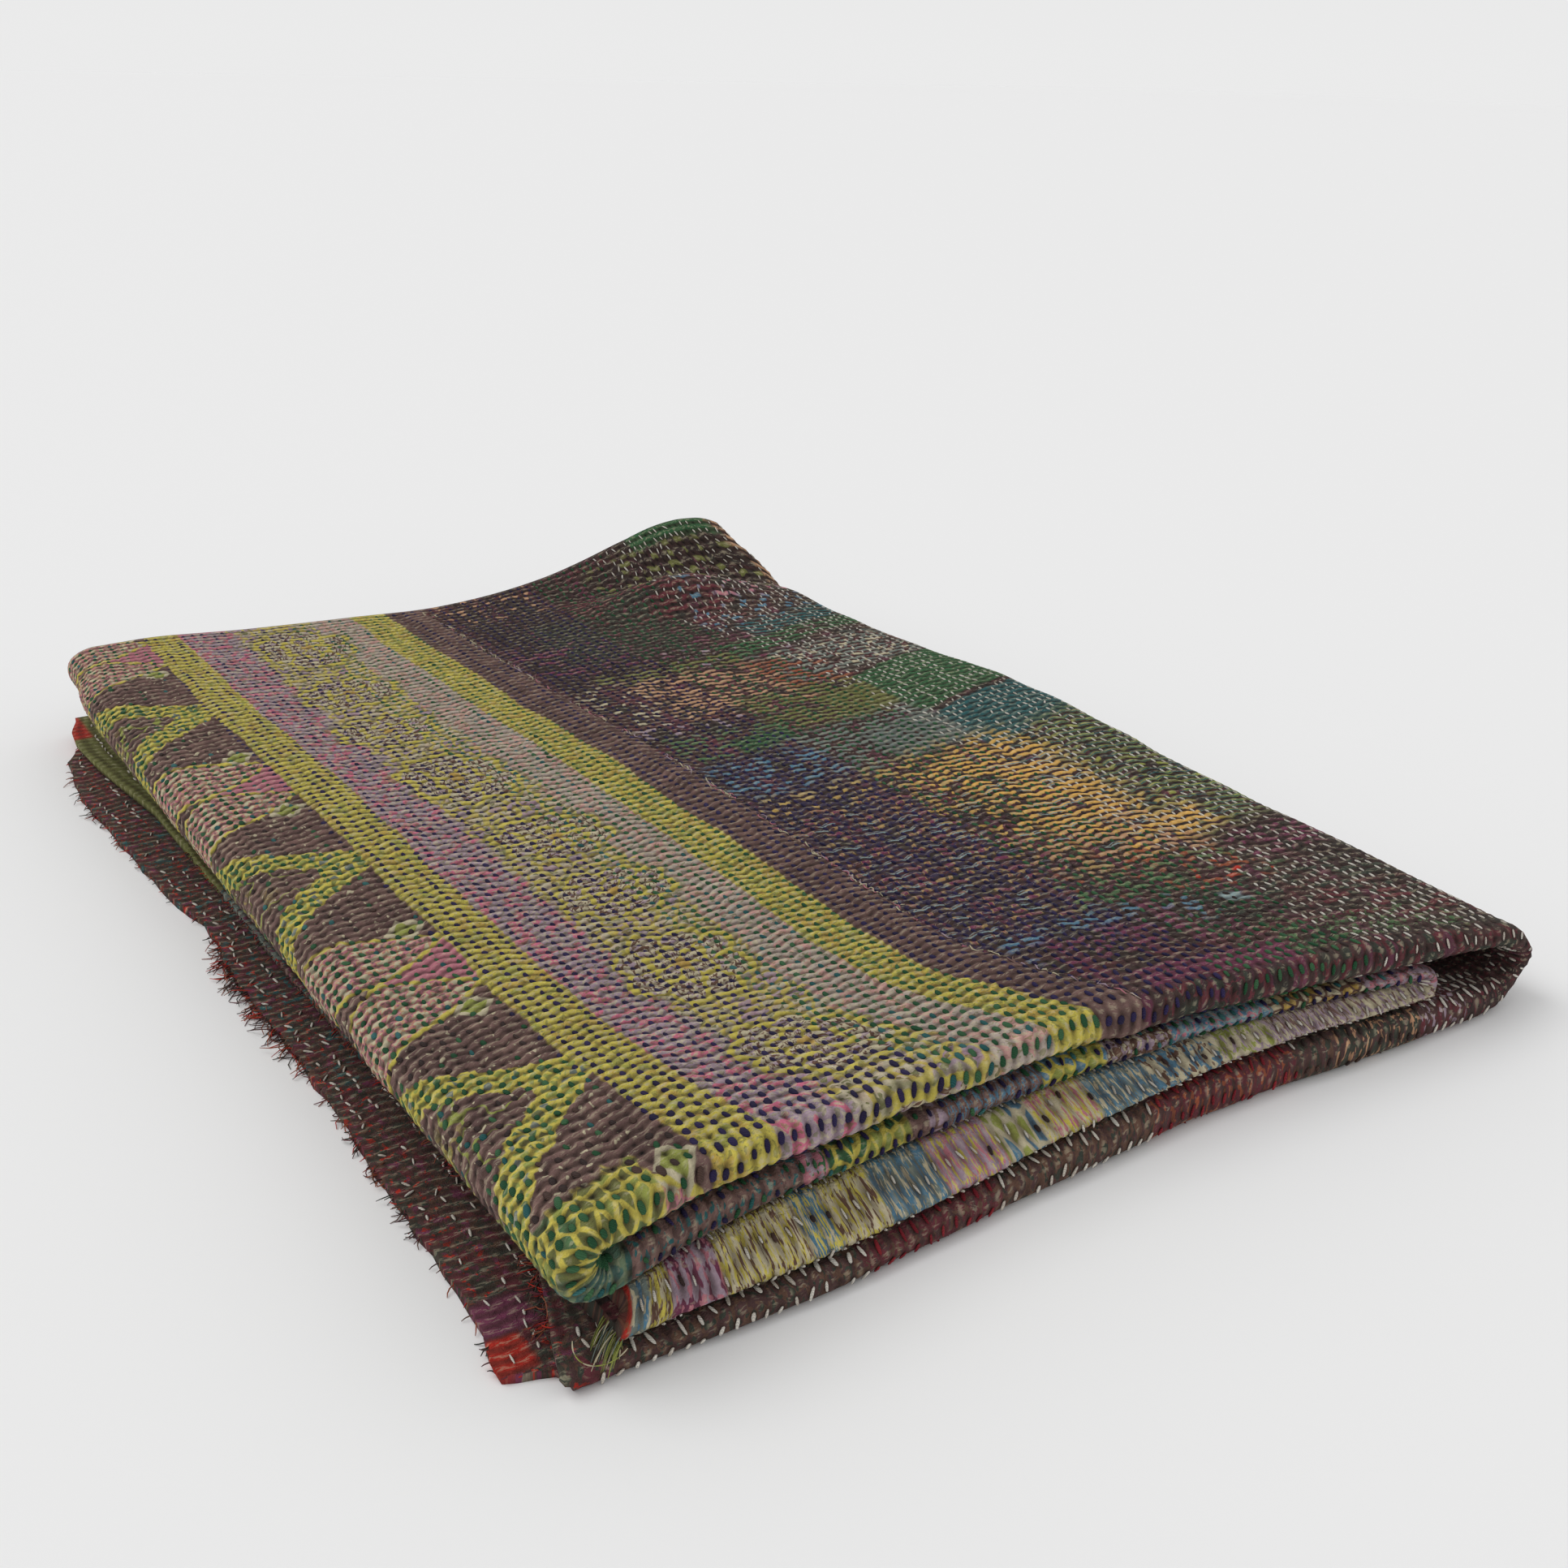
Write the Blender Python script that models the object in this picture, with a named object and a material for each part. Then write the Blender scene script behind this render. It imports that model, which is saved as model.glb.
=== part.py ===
"""A kantha quilt, folded and lying on a flat surface.

The quilt is one sheet of layered, hand-stitched cotton. It is modelled as it is made and put away: the flat
cloth is cut to its outline and given its thickness, folded in half lengthwise, folded across into four
panels, and then settled, which gives the stack its uneven front, its fat roll at the left, its open fold at
the right and the lifted corner at the back.

+Z up. X runs along the folded front edge, Y away from it, and the origin is the middle of the stack's
footprint, on the surface that it lies on. The sizes below are in millimetres, and the mesh is in metres.
"""

import bpy
import bmesh
from collections import namedtuple
from math import cos, exp, pi, sin

MM = 0.001

# Driving sizes of the folded stack, before it settles
STACK_WIDTH = 472.0
STACK_DEPTH = 632.0
PLIES = 4
PLY_PITCH = 13.6            # one doubled ply, with the air round it
CLOTH = 4.2                 # the quilted cloth itself
HALF_FOLD_RADIUS = 3.6      # of the first fold, at the cloth's middle
ROLL_RADIUS = 0.5 * PLY_PITCH
OPEN_FOLD_RADIUS = 1.5 * PLY_PITCH

# The inner fold stops short of the right side, and the ends of the first and fourth panels lie at the left
INNER_FOLD_REACH = 416.0
FIRST_PANEL_END = 16.0
FOURTH_PANEL_END = 2.0

# The front of the settled stack, from its left end: the top of each ply, bottom ply first, and how far the
# foot of the stack and the brow above it are set back from the straight front line
Front = namedtuple("Front", "x ply_1 ply_2 ply_3 ply_4 foot brow")
FRONT = [
    Front(0, 10, 25, 42, 59, -1, 1),
    Front(50, 11, 28, 43, 62, -3, 9),
    Front(105, 12, 28, 41, 59, -4, 16),
    Front(170, 15, 28, 40, 57, 0, 19),
    Front(230, 18, 28, 39, 58, 3, 20),
    Front(300, 20, 29, 36, 55, 5, 16),
    Front(375, 20, 27, 33, 52, 0, 9),
    Front(430, 17, 25, 31, 46, -2, 2),
    Front(472, 14, 22, 29, 42, 0, -1),
]
FRONT_FROM = 12.0           # the front's own heights hold to here and have faded out at FRONT_TO
FRONT_TO = 122.0
SET_BACK_TO = 260.0

# The middle and the back of the settled stack: ply tops, the back edge's reach past the straight back line,
# and the lift of the top cloth's hem at the back
Back = namedtuple("Back", "x ply_1 ply_2 ply_3 ply_4 reach lift")
BACK = [
    Back(0, 11, 25, 39, 53, 15, 0),
    Back(50, 13, 27, 41, 55, 10, 0),
    Back(105, 13, 27, 40, 54, 2, 0),
    Back(170, 13, 27, 40, 54, -6, 0),
    Back(230, 13, 26, 40, 53, -8, 0),
    Back(300, 13, 26, 39, 52, -2, 7),
    Back(375, 12, 25, 37, 50, 2, 27),
    Back(430, 11, 23, 34, 48, 2, 38),
    Back(472, 10, 21, 31, 45, 0, 40),
]
REACH_FROM = 300.0

# The lifted corner rises between these depths. It leans in over the stack above LEAN_HEIGHT. Lifted says how
# much of the lift lies below a ply, between its two cloths and above them.
LIFT_FROM = 588.0
LIFT_TO = 636.0
LEAN = 0.58
LEAN_HEIGHT = 34.0
LEAN_FROM_X = 330.0
LEAN_TO_X = 460.0
LEAN_TO_Y = 623.0
Lifted = namedtuple("Lifted", "below between above")
LIFTED = [Lifted(0, 0, 0), Lifted(0, 0, 0), Lifted(0, 0.30, 0.15), Lifted(0.45, 0.55, 0)]

# The roll at the left is wider than a plain fold, and is tucked in at the back
ROLL_WIDTH = 21.0
ROLL_TAIL = 70.0
ROLL_TUCK = 7.0
TUCK_FROM = 550.0
TUCK_TO = 630.0
TUCK_WIDTH = 90.0

# The torn hem of the bottom cloth at the left side: the distance from the front, and how far it sticks out
Hem = namedtuple("Hem", "y out")
TORN_HEM = [
    Hem(0, 1), Hem(11, 1), Hem(17, 17), Hem(32, 15), Hem(63, 12), Hem(110, 11), Hem(161, 9), Hem(216, 8),
    Hem(274, 9), Hem(307, 9), Hem(352, 6), Hem(383, 9), Hem(410, 12), Hem(447, 14), Hem(484, 16),
    Hem(529, 18), Hem(584, 11), Hem(610, -2), Hem(632, -8),
]

# The hem of the cloth above it draws back under the roll a short way from the front
UPPER_HEM = [
    Hem(0, 4), Hem(12, 1), Hem(32, -6), Hem(62, -14), Hem(120, -12), Hem(300, -8), Hem(480, -6),
    Hem(560, 3), Hem(610, 4), Hem(632, -4),
]

# Soft swellings and hollows of the top: centre, half widths along X and Y, height
Swell = namedtuple("Swell", "x y wide deep height")
SWELLS = [
    Swell(372, 566, 56, 22, 20),
    Swell(455, 320, 60, 100, 9),
    Swell(60, 70, 30, 60, 3),
    Swell(58, 330, 22, 150, 2.5),
    Swell(135, 150, 40, 110, -2.5),
    Swell(120, 470, 45, 90, -2),
    Swell(215, 300, 30, 160, 2),
    Swell(330, 200, 70, 80, 2),
    Swell(300, 420, 80, 60, -2.5),
]

# Grid lines over one panel and one half of the cloth, as shares of the run, closer towards the edges
RUN_SHARES = (0.05, 0.12, 0.22, 0.34, 0.46, 0.58, 0.70, 0.81, 0.90, 0.96, 1.0)
HALF_SHARES = (0.0, 0.010, 0.018, 0.042, 0.09, 0.17, 0.27, 0.38, 0.50, 0.62, 0.73, 0.82, 0.88, 0.925, 0.96, 1.0)
ROLL_STEPS = 7
OPEN_FOLD_STEPS = 10
HALF_FOLD_STEPS = 6

MADDER = (0.085, 0.042, 0.045, 1.0)
SHARP_ANGLE = 0.8


def ease(value, start, end):
    """A smooth step from 0 at start to 1 at end."""
    share = min(1.0, max(0.0, (value - start) / (end - start)))
    return share * share * (3.0 - 2.0 * share)


def along(table, column, place, key="x"):
    """A column of a table, read smoothly between its rows."""
    last = len(table) - 1
    row = 0
    while row < last - 1 and getattr(table[row + 1], key) < place:
        row += 1
    start, end = getattr(table[row], key), getattr(table[row + 1], key)
    share = min(1.0, max(0.0, (place - start) / (end - start)))
    before, low, high, after = (getattr(table[min(last, max(0, row + step))], column) for step in (-1, 0, 1, 2))
    curve = (2 * low + (high - before) * share
             + (2 * before - 5 * low + 4 * high - after) * share ** 2
             + (3 * low - before - 3 * high + after) * share ** 3)
    return 0.5 * curve


def fold_route():
    """The four panels and three folds of a doubled ply, seen from the front.

    Each leg is (kind, size, start x, start z, heading). A run's size is its length and a fold's its radius,
    its kind says which way it turns, and heading is +1 to the right and -1 to the left.
    """
    bottom, second, third, top = (PLY_PITCH * (ply + 0.5) for ply in range(PLIES))
    right = STACK_WIDTH - OPEN_FOLD_RADIUS
    left = ROLL_RADIUS + CLOTH
    inner = INNER_FOLD_REACH - ROLL_RADIUS - CLOTH
    return [
        ("run", right - FOURTH_PANEL_END, FOURTH_PANEL_END, bottom, 1),
        ("up", OPEN_FOLD_RADIUS, right, bottom, 1),
        ("run", right - left, right, top, -1),
        ("down", ROLL_RADIUS, left, top, -1),
        ("run", inner - left, left, third, 1),
        ("down", ROLL_RADIUS, inner, third, 1),
        ("run", inner - FIRST_PANEL_END, inner, second, -1),
    ]


def leg_length(leg):
    kind, size = leg[0], leg[1]
    return size if kind == "run" else pi * size


def on_route(route, distance):
    """The point of the route at a distance from its start, and its normal to the left of the way it runs."""
    for leg in route:
        if distance <= leg_length(leg) or leg is route[-1]:
            break
        distance -= leg_length(leg)
    kind, size, x, z, heading = leg
    if kind == "run":
        return x + heading * distance, z, 0.0, float(heading)
    angle = distance / size
    rise = 1.0 if kind == "up" else -1.0
    point_x = x + heading * size * sin(angle)
    point_z = z + rise * size * (1.0 - cos(angle))
    return point_x, point_z, -rise * sin(angle), heading * cos(angle)


def half_fold(across, face):
    """The first fold: a place across the cloth becomes a depth and an offset from the ply's middle."""
    straight = STACK_DEPTH - HALF_FOLD_RADIUS
    centre = HALF_FOLD_RADIUS + 0.5 * CLOTH
    side = 1.0 if across > 0.0 else -1.0
    radius = HALF_FOLD_RADIUS + face
    beyond = abs(across) - 0.5 * pi * HALF_FOLD_RADIUS
    if beyond >= 0.0:
        return centre + min(beyond, straight), side * radius
    angle = across / HALF_FOLD_RADIUS
    return centre - radius * cos(angle), radius * sin(angle)


def folded(route, distance, across, face):
    """Where a point of the flat cloth lies once both folds are made."""
    y, offset = half_fold(across, face)
    x, z, normal_x, normal_z = on_route(route, distance)
    return x + offset * normal_x, y, z + offset * normal_z


def ply_tops(x, y):
    """The height of the floor and of each ply's top at a place of the footprint."""
    back_share = ease(y, FRONT_FROM, FRONT_TO)
    swell = sum(row.height * exp(-((x - row.x) / row.wide) ** 2 - ((y - row.y) / row.deep) ** 2)
                for row in SWELLS)
    tops = [0.0]
    for ply in range(1, PLIES + 1):
        name = "ply_%d" % ply
        front, back = along(FRONT, name, x), along(BACK, name, x)
        tops.append(front + (back - front) * back_share + swell * (ply / PLIES) ** 2)
    return tops


def settled_height(x, y, z):
    """A ply's cloths keep their thickness, and the air between them takes up the rest."""
    tops = ply_tops(x, y)
    ply = min(PLIES - 1, max(0, int(z // PLY_PITCH)))
    room = tops[ply + 1] - tops[ply]
    thick = CLOTH * min(1.2, room / PLY_PITCH)
    outer_gap = 0.5 * (PLY_PITCH - CLOTH) - HALF_FOLD_RADIUS
    inner_gap = 2.0 * HALF_FOLD_RADIUS - CLOTH
    under_gap = 0.0 if ply == 0 else outer_gap
    air = (room - 2.0 * thick) / (under_gap + inner_gap + outer_gap)
    lift = along(BACK, "lift", x) * ease(y, LIFT_FROM, LIFT_TO)
    share = LIFTED[ply]
    neat_and_settled = [
        (outer_gap, under_gap * air),
        (CLOTH, thick),
        (inner_gap, inner_gap * air + share.between * lift),
        (CLOTH, thick),
        (outer_gap, outer_gap * air + share.above * lift),
    ]
    rest = z - ply * PLY_PITCH
    height = tops[ply] + share.below * lift
    for neat, real in neat_and_settled:
        if rest <= neat:
            return height + rest * real / neat
        rest -= neat
        height += real
    return height + rest


def widened(x):
    """The roll's own width is stretched, and the cloth next to it gives way."""
    if not 0.0 < x < ROLL_TAIL:
        return x
    if x < PLY_PITCH:
        return x * ROLL_WIDTH / PLY_PITCH
    return ROLL_WIDTH + (x - PLY_PITCH) * (ROLL_TAIL - ROLL_WIDTH) / (ROLL_TAIL - PLY_PITCH)


def settled(x, y, z):
    """The small moves that turn the neat fold into the uneven stack."""
    upper = ease(z, PLY_PITCH, 2.0 * PLY_PITCH)
    height = settled_height(min(STACK_WIDTH, max(0.0, x)), max(0.0, y), z)
    x += (widened(x) - x) * upper
    x += ROLL_TUCK * upper * ease(y, TUCK_FROM, TUCK_TO) * (1.0 - ease(x, 0.0, TUCK_WIDTH))
    foot, brow = along(FRONT, "foot", x), along(FRONT, "brow", x)
    set_back = foot + (brow - foot) * upper
    y += set_back * (1.0 - ease(y, 0.0, SET_BACK_TO)) + along(BACK, "reach", x) * ease(y, REACH_FROM, STACK_DEPTH)
    corner = ease(x, LEAN_FROM_X, LEAN_TO_X) * ease(y, LIFT_FROM, LEAN_TO_Y)
    x -= LEAN * corner * max(0.0, height - LEAN_HEIGHT)
    return x, y, height


def stations_along(route):
    """Distances of the grid lines along the cloth."""
    places, start = [0.0], 0.0
    for leg in route:
        length = leg_length(leg)
        if leg[0] == "run":
            shares = RUN_SHARES
        else:
            steps = OPEN_FOLD_STEPS if leg[0] == "up" else ROLL_STEPS
            shares = [(step + 1) / steps for step in range(steps)]
        places += [start + share * length for share in shares]
        start += length
    return places


def stations_across():
    """Grid lines across the cloth, from one long hem over the first fold to the other."""
    bend = 0.5 * pi * HALF_FOLD_RADIUS
    straight = STACK_DEPTH - HALF_FOLD_RADIUS
    half = [bend + share * straight for share in HALF_SHARES]
    turn = [bend * (2.0 * step / HALF_FOLD_STEPS - 1.0) for step in range(1, HALF_FOLD_STEPS)]
    return [-place for place in reversed(half)] + turn + half


def flat_cloth(route):
    """The cloth laid flat, cut to its outline and given its thickness, as a closed shell."""
    lengths, widths = stations_along(route), stations_across()
    columns, rows = len(lengths) - 1, len(widths) - 1
    shell = bmesh.new()
    bmesh.ops.create_grid(shell, x_segments=columns, y_segments=rows, size=0.5)
    for corner in shell.verts:
        column = round((corner.co.x + 0.5) * columns)
        across = widths[round((corner.co.y + 0.5) * rows)]
        corner.co = (lengths[column], across, -0.5 * CLOTH)
        if column == 0:
            hem = TORN_HEM if across < 0.0 else UPPER_HEM
            corner.co.x -= along(hem, "out", abs(across), key="y")
    raised = bmesh.ops.extrude_face_region(shell, geom=shell.faces[:], use_keep_orig=True)
    new_corners = [item for item in raised["geom"] if isinstance(item, bmesh.types.BMVert)]
    bmesh.ops.translate(shell, verts=new_corners, vec=(0.0, 0.0, CLOTH))
    return shell


def make_quilt():
    route = fold_route()
    shell = flat_cloth(route)
    for corner in shell.verts:
        corner.co = settled(*folded(route, *corner.co))
    low = [min(corner.co[axis] for corner in shell.verts) for axis in range(3)]
    high = [max(corner.co[axis] for corner in shell.verts) for axis in range(3)]
    to_origin = (-0.5 * (low[0] + high[0]), -0.5 * (low[1] + high[1]), -low[2])
    bmesh.ops.translate(shell, verts=shell.verts, vec=to_origin)
    bmesh.ops.scale(shell, verts=shell.verts, vec=(MM, MM, MM))
    bmesh.ops.triangulate(shell, faces=shell.faces[:])
    bmesh.ops.recalc_face_normals(shell, faces=shell.faces[:])
    mesh = bpy.data.meshes.new("quilt")
    shell.to_mesh(mesh)
    shell.free()
    mesh.shade_smooth()
    mesh.set_sharp_from_angle(angle=SHARP_ANGLE)
    mesh.materials.append(worn_cotton())
    quilt = bpy.data.objects.new("quilt", mesh)
    bpy.context.collection.objects.link(quilt)


def worn_cotton():
    """Old madder-brown cotton, matt."""
    material = bpy.data.materials.new("worn_cotton")
    material.use_nodes = True
    shader = material.node_tree.nodes["Principled BSDF"]
    shader.inputs["Base Color"].default_value = MADDER
    shader.inputs["Roughness"].default_value = 0.9
    shader.inputs["Metallic"].default_value = 0.0
    return material


def main():
    for item in list(bpy.data.objects):
        bpy.data.objects.remove(item, do_unlink=True)
    make_quilt()


main()
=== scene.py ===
"""Looks of the folded kantha quilt: its stitched cloth, threads, torn hem and loose ends.

The cloth is laid flat as a fine sheet, gathered into the ripples and dimples of its running stitch, and then
folded and settled as the solid is. Cloth sizes are in millimetres and become metres with MM.
"""

from collections import namedtuple
from math import cos, pi, sin

import bpy
import numpy as np
from mathutils import Matrix, Vector


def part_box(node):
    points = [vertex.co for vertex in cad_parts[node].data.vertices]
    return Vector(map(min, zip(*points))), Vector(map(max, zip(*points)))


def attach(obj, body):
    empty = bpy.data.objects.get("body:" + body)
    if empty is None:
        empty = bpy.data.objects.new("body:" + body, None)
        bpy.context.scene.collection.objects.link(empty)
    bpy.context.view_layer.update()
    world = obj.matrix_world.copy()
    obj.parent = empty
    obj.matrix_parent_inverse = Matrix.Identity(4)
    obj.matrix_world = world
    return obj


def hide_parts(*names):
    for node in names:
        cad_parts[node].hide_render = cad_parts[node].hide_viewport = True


bl_info = {
    "name": "Kantha Quilt",
    "version": (1, 0, 0),
    "blender": (4, 5, 0),
    "location": "View3D > Sidebar > Quilt",
    "description": "Dresses a folded kantha quilt with its cloth, stitches and loose threads",
    "category": "Object",
}

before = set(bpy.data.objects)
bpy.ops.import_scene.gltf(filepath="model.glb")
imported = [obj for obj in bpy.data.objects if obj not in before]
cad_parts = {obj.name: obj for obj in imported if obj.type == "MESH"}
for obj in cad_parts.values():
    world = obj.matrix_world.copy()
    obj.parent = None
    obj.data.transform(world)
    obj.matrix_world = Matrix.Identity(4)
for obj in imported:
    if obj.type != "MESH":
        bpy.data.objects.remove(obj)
MM = 0.001

# The folded stack, as the solid has it
STACK_WIDTH = 472.0
STACK_DEPTH = 632.0
PLIES = 4
PLY_PITCH = 13.6
CLOTH = 4.2
HALF_FOLD_RADIUS = 3.6
ROLL_RADIUS = 0.5 * PLY_PITCH
OPEN_FOLD_RADIUS = 1.5 * PLY_PITCH
INNER_FOLD_REACH = 416.0
FIRST_PANEL_END = 16.0
FOURTH_PANEL_END = 2.0

Front = namedtuple("Front", "x ply_1 ply_2 ply_3 ply_4 foot brow")
FRONT = [
    Front(0, 10, 25, 42, 59, -1, 1),
    Front(50, 11, 28, 43, 62, -3, 9),
    Front(105, 12, 28, 41, 59, -4, 16),
    Front(170, 15, 28, 40, 57, 0, 19),
    Front(230, 18, 28, 39, 58, 3, 20),
    Front(300, 20, 29, 36, 55, 5, 16),
    Front(375, 20, 27, 33, 52, 0, 9),
    Front(430, 17, 25, 31, 46, -2, 2),
    Front(472, 14, 22, 29, 42, 0, -1),
]
FRONT_FROM = 12.0
FRONT_TO = 122.0
SET_BACK_TO = 260.0
Back = namedtuple("Back", "x ply_1 ply_2 ply_3 ply_4 reach lift")
BACK = [
    Back(0, 11, 25, 39, 53, 15, 0),
    Back(50, 13, 27, 41, 55, 10, 0),
    Back(105, 13, 27, 40, 54, 2, 0),
    Back(170, 13, 27, 40, 54, -6, 0),
    Back(230, 13, 26, 40, 53, -8, 0),
    Back(300, 13, 26, 39, 52, -2, 7),
    Back(375, 12, 25, 37, 50, 2, 27),
    Back(430, 11, 23, 34, 48, 2, 38),
    Back(472, 10, 21, 31, 45, 0, 40),
]
REACH_FROM = 300.0
LIFT_FROM = 588.0
LIFT_TO = 636.0
LEAN = 0.58
LEAN_HEIGHT = 34.0
LEAN_FROM_X = 330.0
LEAN_TO_X = 460.0
LEAN_TO_Y = 623.0
Lifted = namedtuple("Lifted", "below between above")
LIFTED = [Lifted(0, 0, 0), Lifted(0, 0, 0), Lifted(0, 0.30, 0.15), Lifted(0.45, 0.55, 0)]
ROLL_WIDTH = 21.0
ROLL_TAIL = 70.0
ROLL_TUCK = 7.0
TUCK_FROM = 550.0
TUCK_TO = 630.0
TUCK_WIDTH = 90.0
Hem = namedtuple("Hem", "y out")
TORN_HEM = [
    Hem(0, 1), Hem(11, 1), Hem(17, 17), Hem(32, 15), Hem(63, 12), Hem(110, 11), Hem(161, 9), Hem(216, 8),
    Hem(274, 9), Hem(307, 9), Hem(352, 6), Hem(383, 9), Hem(410, 12), Hem(447, 14), Hem(484, 16),
    Hem(529, 18), Hem(584, 11), Hem(610, -2), Hem(632, -8),
]
UPPER_HEM = [
    Hem(0, 4), Hem(12, 1), Hem(32, -6), Hem(62, -14), Hem(120, -12), Hem(300, -8), Hem(480, -6),
    Hem(560, 3), Hem(610, 4), Hem(632, -4),
]
HEM_REACH = 22.0
Swell = namedtuple("Swell", "x y wide deep height")
SWELLS = [
    Swell(372, 566, 56, 22, 20),
    Swell(455, 320, 60, 100, 9),
    Swell(60, 70, 30, 60, 3),
    Swell(58, 330, 22, 150, 2.5),
    Swell(135, 150, 40, 110, -2.5),
    Swell(120, 470, 45, 90, -2),
    Swell(215, 300, 30, 160, 2),
    Swell(330, 200, 70, 80, 2),
    Swell(300, 420, 80, 60, -2.5),
]

# The opened quilt, and the flat places where its panels and folds begin
HALF_WIDTH = STACK_DEPTH + (0.5 * pi - 1.0) * HALF_FOLD_RADIUS
BEND = 0.5 * pi * HALF_FOLD_RADIUS

# The running stitch: rows across the fold line, and the stitches in a row
ROWS_ON_TOP = 76
STITCHES_ACROSS = 112
STEPS_A_STITCH = 3
SEAM_X = 222.0
ROWS_A_BLOCK = 6
BOTTOM_BLOCKS = 12
RIBS_FROM = 20.0
RIBS_FULL = 8.0


def ease(value, start, end):
    """A smooth step from 0 at start to 1 at end."""
    share = np.clip((value - start) / (end - start), 0.0, 1.0)
    return share * share * (3.0 - 2.0 * share)


def within(value, start, end, soft):
    """1 between start and end, with soft edges, and 0 outside."""
    return ease(value, start - soft, start + soft) * (1.0 - ease(value, end - soft, end + soft))


def along(table, column, place, key="x"):
    """A column of a table, read smoothly between its rows."""
    places = np.array([getattr(row, key) for row in table], float)
    values = np.array([getattr(row, column) for row in table], float)
    last = len(table) - 1
    row = np.searchsorted(places[1:last], place)
    share = np.clip((place - places[row]) / (places[row + 1] - places[row]), 0.0, 1.0)
    before, low, high, after = (values[np.clip(row + step, 0, last)] for step in (-1, 0, 1, 2))
    curve = (2 * low + (high - before) * share
             + (2 * before - 5 * low + 4 * high - after) * share ** 2
             + (3 * low - before - 3 * high + after) * share ** 3)
    return 0.5 * curve


def fold_route():
    """The four panels and three folds of a doubled ply: (kind, size, start x, start z, heading)."""
    bottom, second, third, top = (PLY_PITCH * (ply + 0.5) for ply in range(PLIES))
    right = STACK_WIDTH - OPEN_FOLD_RADIUS
    left = ROLL_RADIUS + CLOTH
    inner = INNER_FOLD_REACH - ROLL_RADIUS - CLOTH
    return [
        ("run", right - FOURTH_PANEL_END, FOURTH_PANEL_END, bottom, 1),
        ("up", OPEN_FOLD_RADIUS, right, bottom, 1),
        ("run", right - left, right, top, -1),
        ("down", ROLL_RADIUS, left, top, -1),
        ("run", inner - left, left, third, 1),
        ("down", ROLL_RADIUS, inner, third, 1),
        ("run", inner - FIRST_PANEL_END, inner, second, -1),
    ]


def leg_length(leg):
    return leg[1] if leg[0] == "run" else pi * leg[1]


ROUTE = fold_route()
LEG_STARTS = [sum(leg_length(leg) for leg in ROUTE[:count]) for count in range(len(ROUTE) + 1)]
OPEN_FOLD, TOP_PANEL, ROLL, THIRD_PANEL, INNER_FOLD, FIRST_PANEL, FAR_END = LEG_STARTS[1:]
ROW = (ROLL - TOP_PANEL) / ROWS_ON_TOP
STITCH = (HALF_WIDTH - BEND) / STITCHES_ACROSS
TOP_LEFT = ROLL + ROLL_RADIUS + CLOTH


def on_route(distance):
    """The point of the route at a distance from its start, and its normal to the left of the way it runs."""
    x, z, normal_x, normal_z = (np.zeros_like(distance) for _ in range(4))
    for leg, start in zip(ROUTE, LEG_STARTS):
        kind, size, start_x, start_z, heading = leg
        gone = distance - start
        here = (gone > 0.0) if start else np.ones_like(distance, bool)
        if kind == "run":
            leg_x, leg_z = start_x + heading * gone, np.full_like(gone, start_z)
            leg_nx, leg_nz = np.zeros_like(gone), np.full_like(gone, float(heading))
        else:
            angle = gone / size
            rise = 1.0 if kind == "up" else -1.0
            leg_x = start_x + heading * size * np.sin(angle)
            leg_z = start_z + rise * size * (1.0 - np.cos(angle))
            leg_nx, leg_nz = -rise * np.sin(angle), heading * np.cos(angle)
        x, z = np.where(here, leg_x, x), np.where(here, leg_z, z)
        normal_x, normal_z = np.where(here, leg_nx, normal_x), np.where(here, leg_nz, normal_z)
    return x, z, normal_x, normal_z


def half_fold(across, face):
    """The first fold: a place across the cloth becomes a depth and an offset from the ply's middle."""
    centre = HALF_FOLD_RADIUS + 0.5 * CLOTH
    radius = HALF_FOLD_RADIUS + face
    beyond = np.abs(across) - BEND
    angle = across / HALF_FOLD_RADIUS
    flat = beyond >= 0.0
    y = np.where(flat, centre + np.minimum(beyond, STACK_DEPTH - HALF_FOLD_RADIUS), centre - radius * np.cos(angle))
    offset = np.where(flat, np.where(across > 0.0, radius, -radius), radius * np.sin(angle))
    return y, offset


def ply_tops(x, y):
    """The height of the floor and of each ply's top at a place of the footprint."""
    back_share = ease(y, FRONT_FROM, FRONT_TO)
    swell = sum(row.height * np.exp(-((x - row.x) / row.wide) ** 2 - ((y - row.y) / row.deep) ** 2)
                for row in SWELLS)
    tops = [np.zeros_like(x)]
    for ply in range(1, PLIES + 1):
        name = "ply_%d" % ply
        front, back = along(FRONT, name, x), along(BACK, name, x)
        tops.append(front + (back - front) * back_share + swell * (ply / PLIES) ** 2)
    return np.array(tops)


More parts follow.
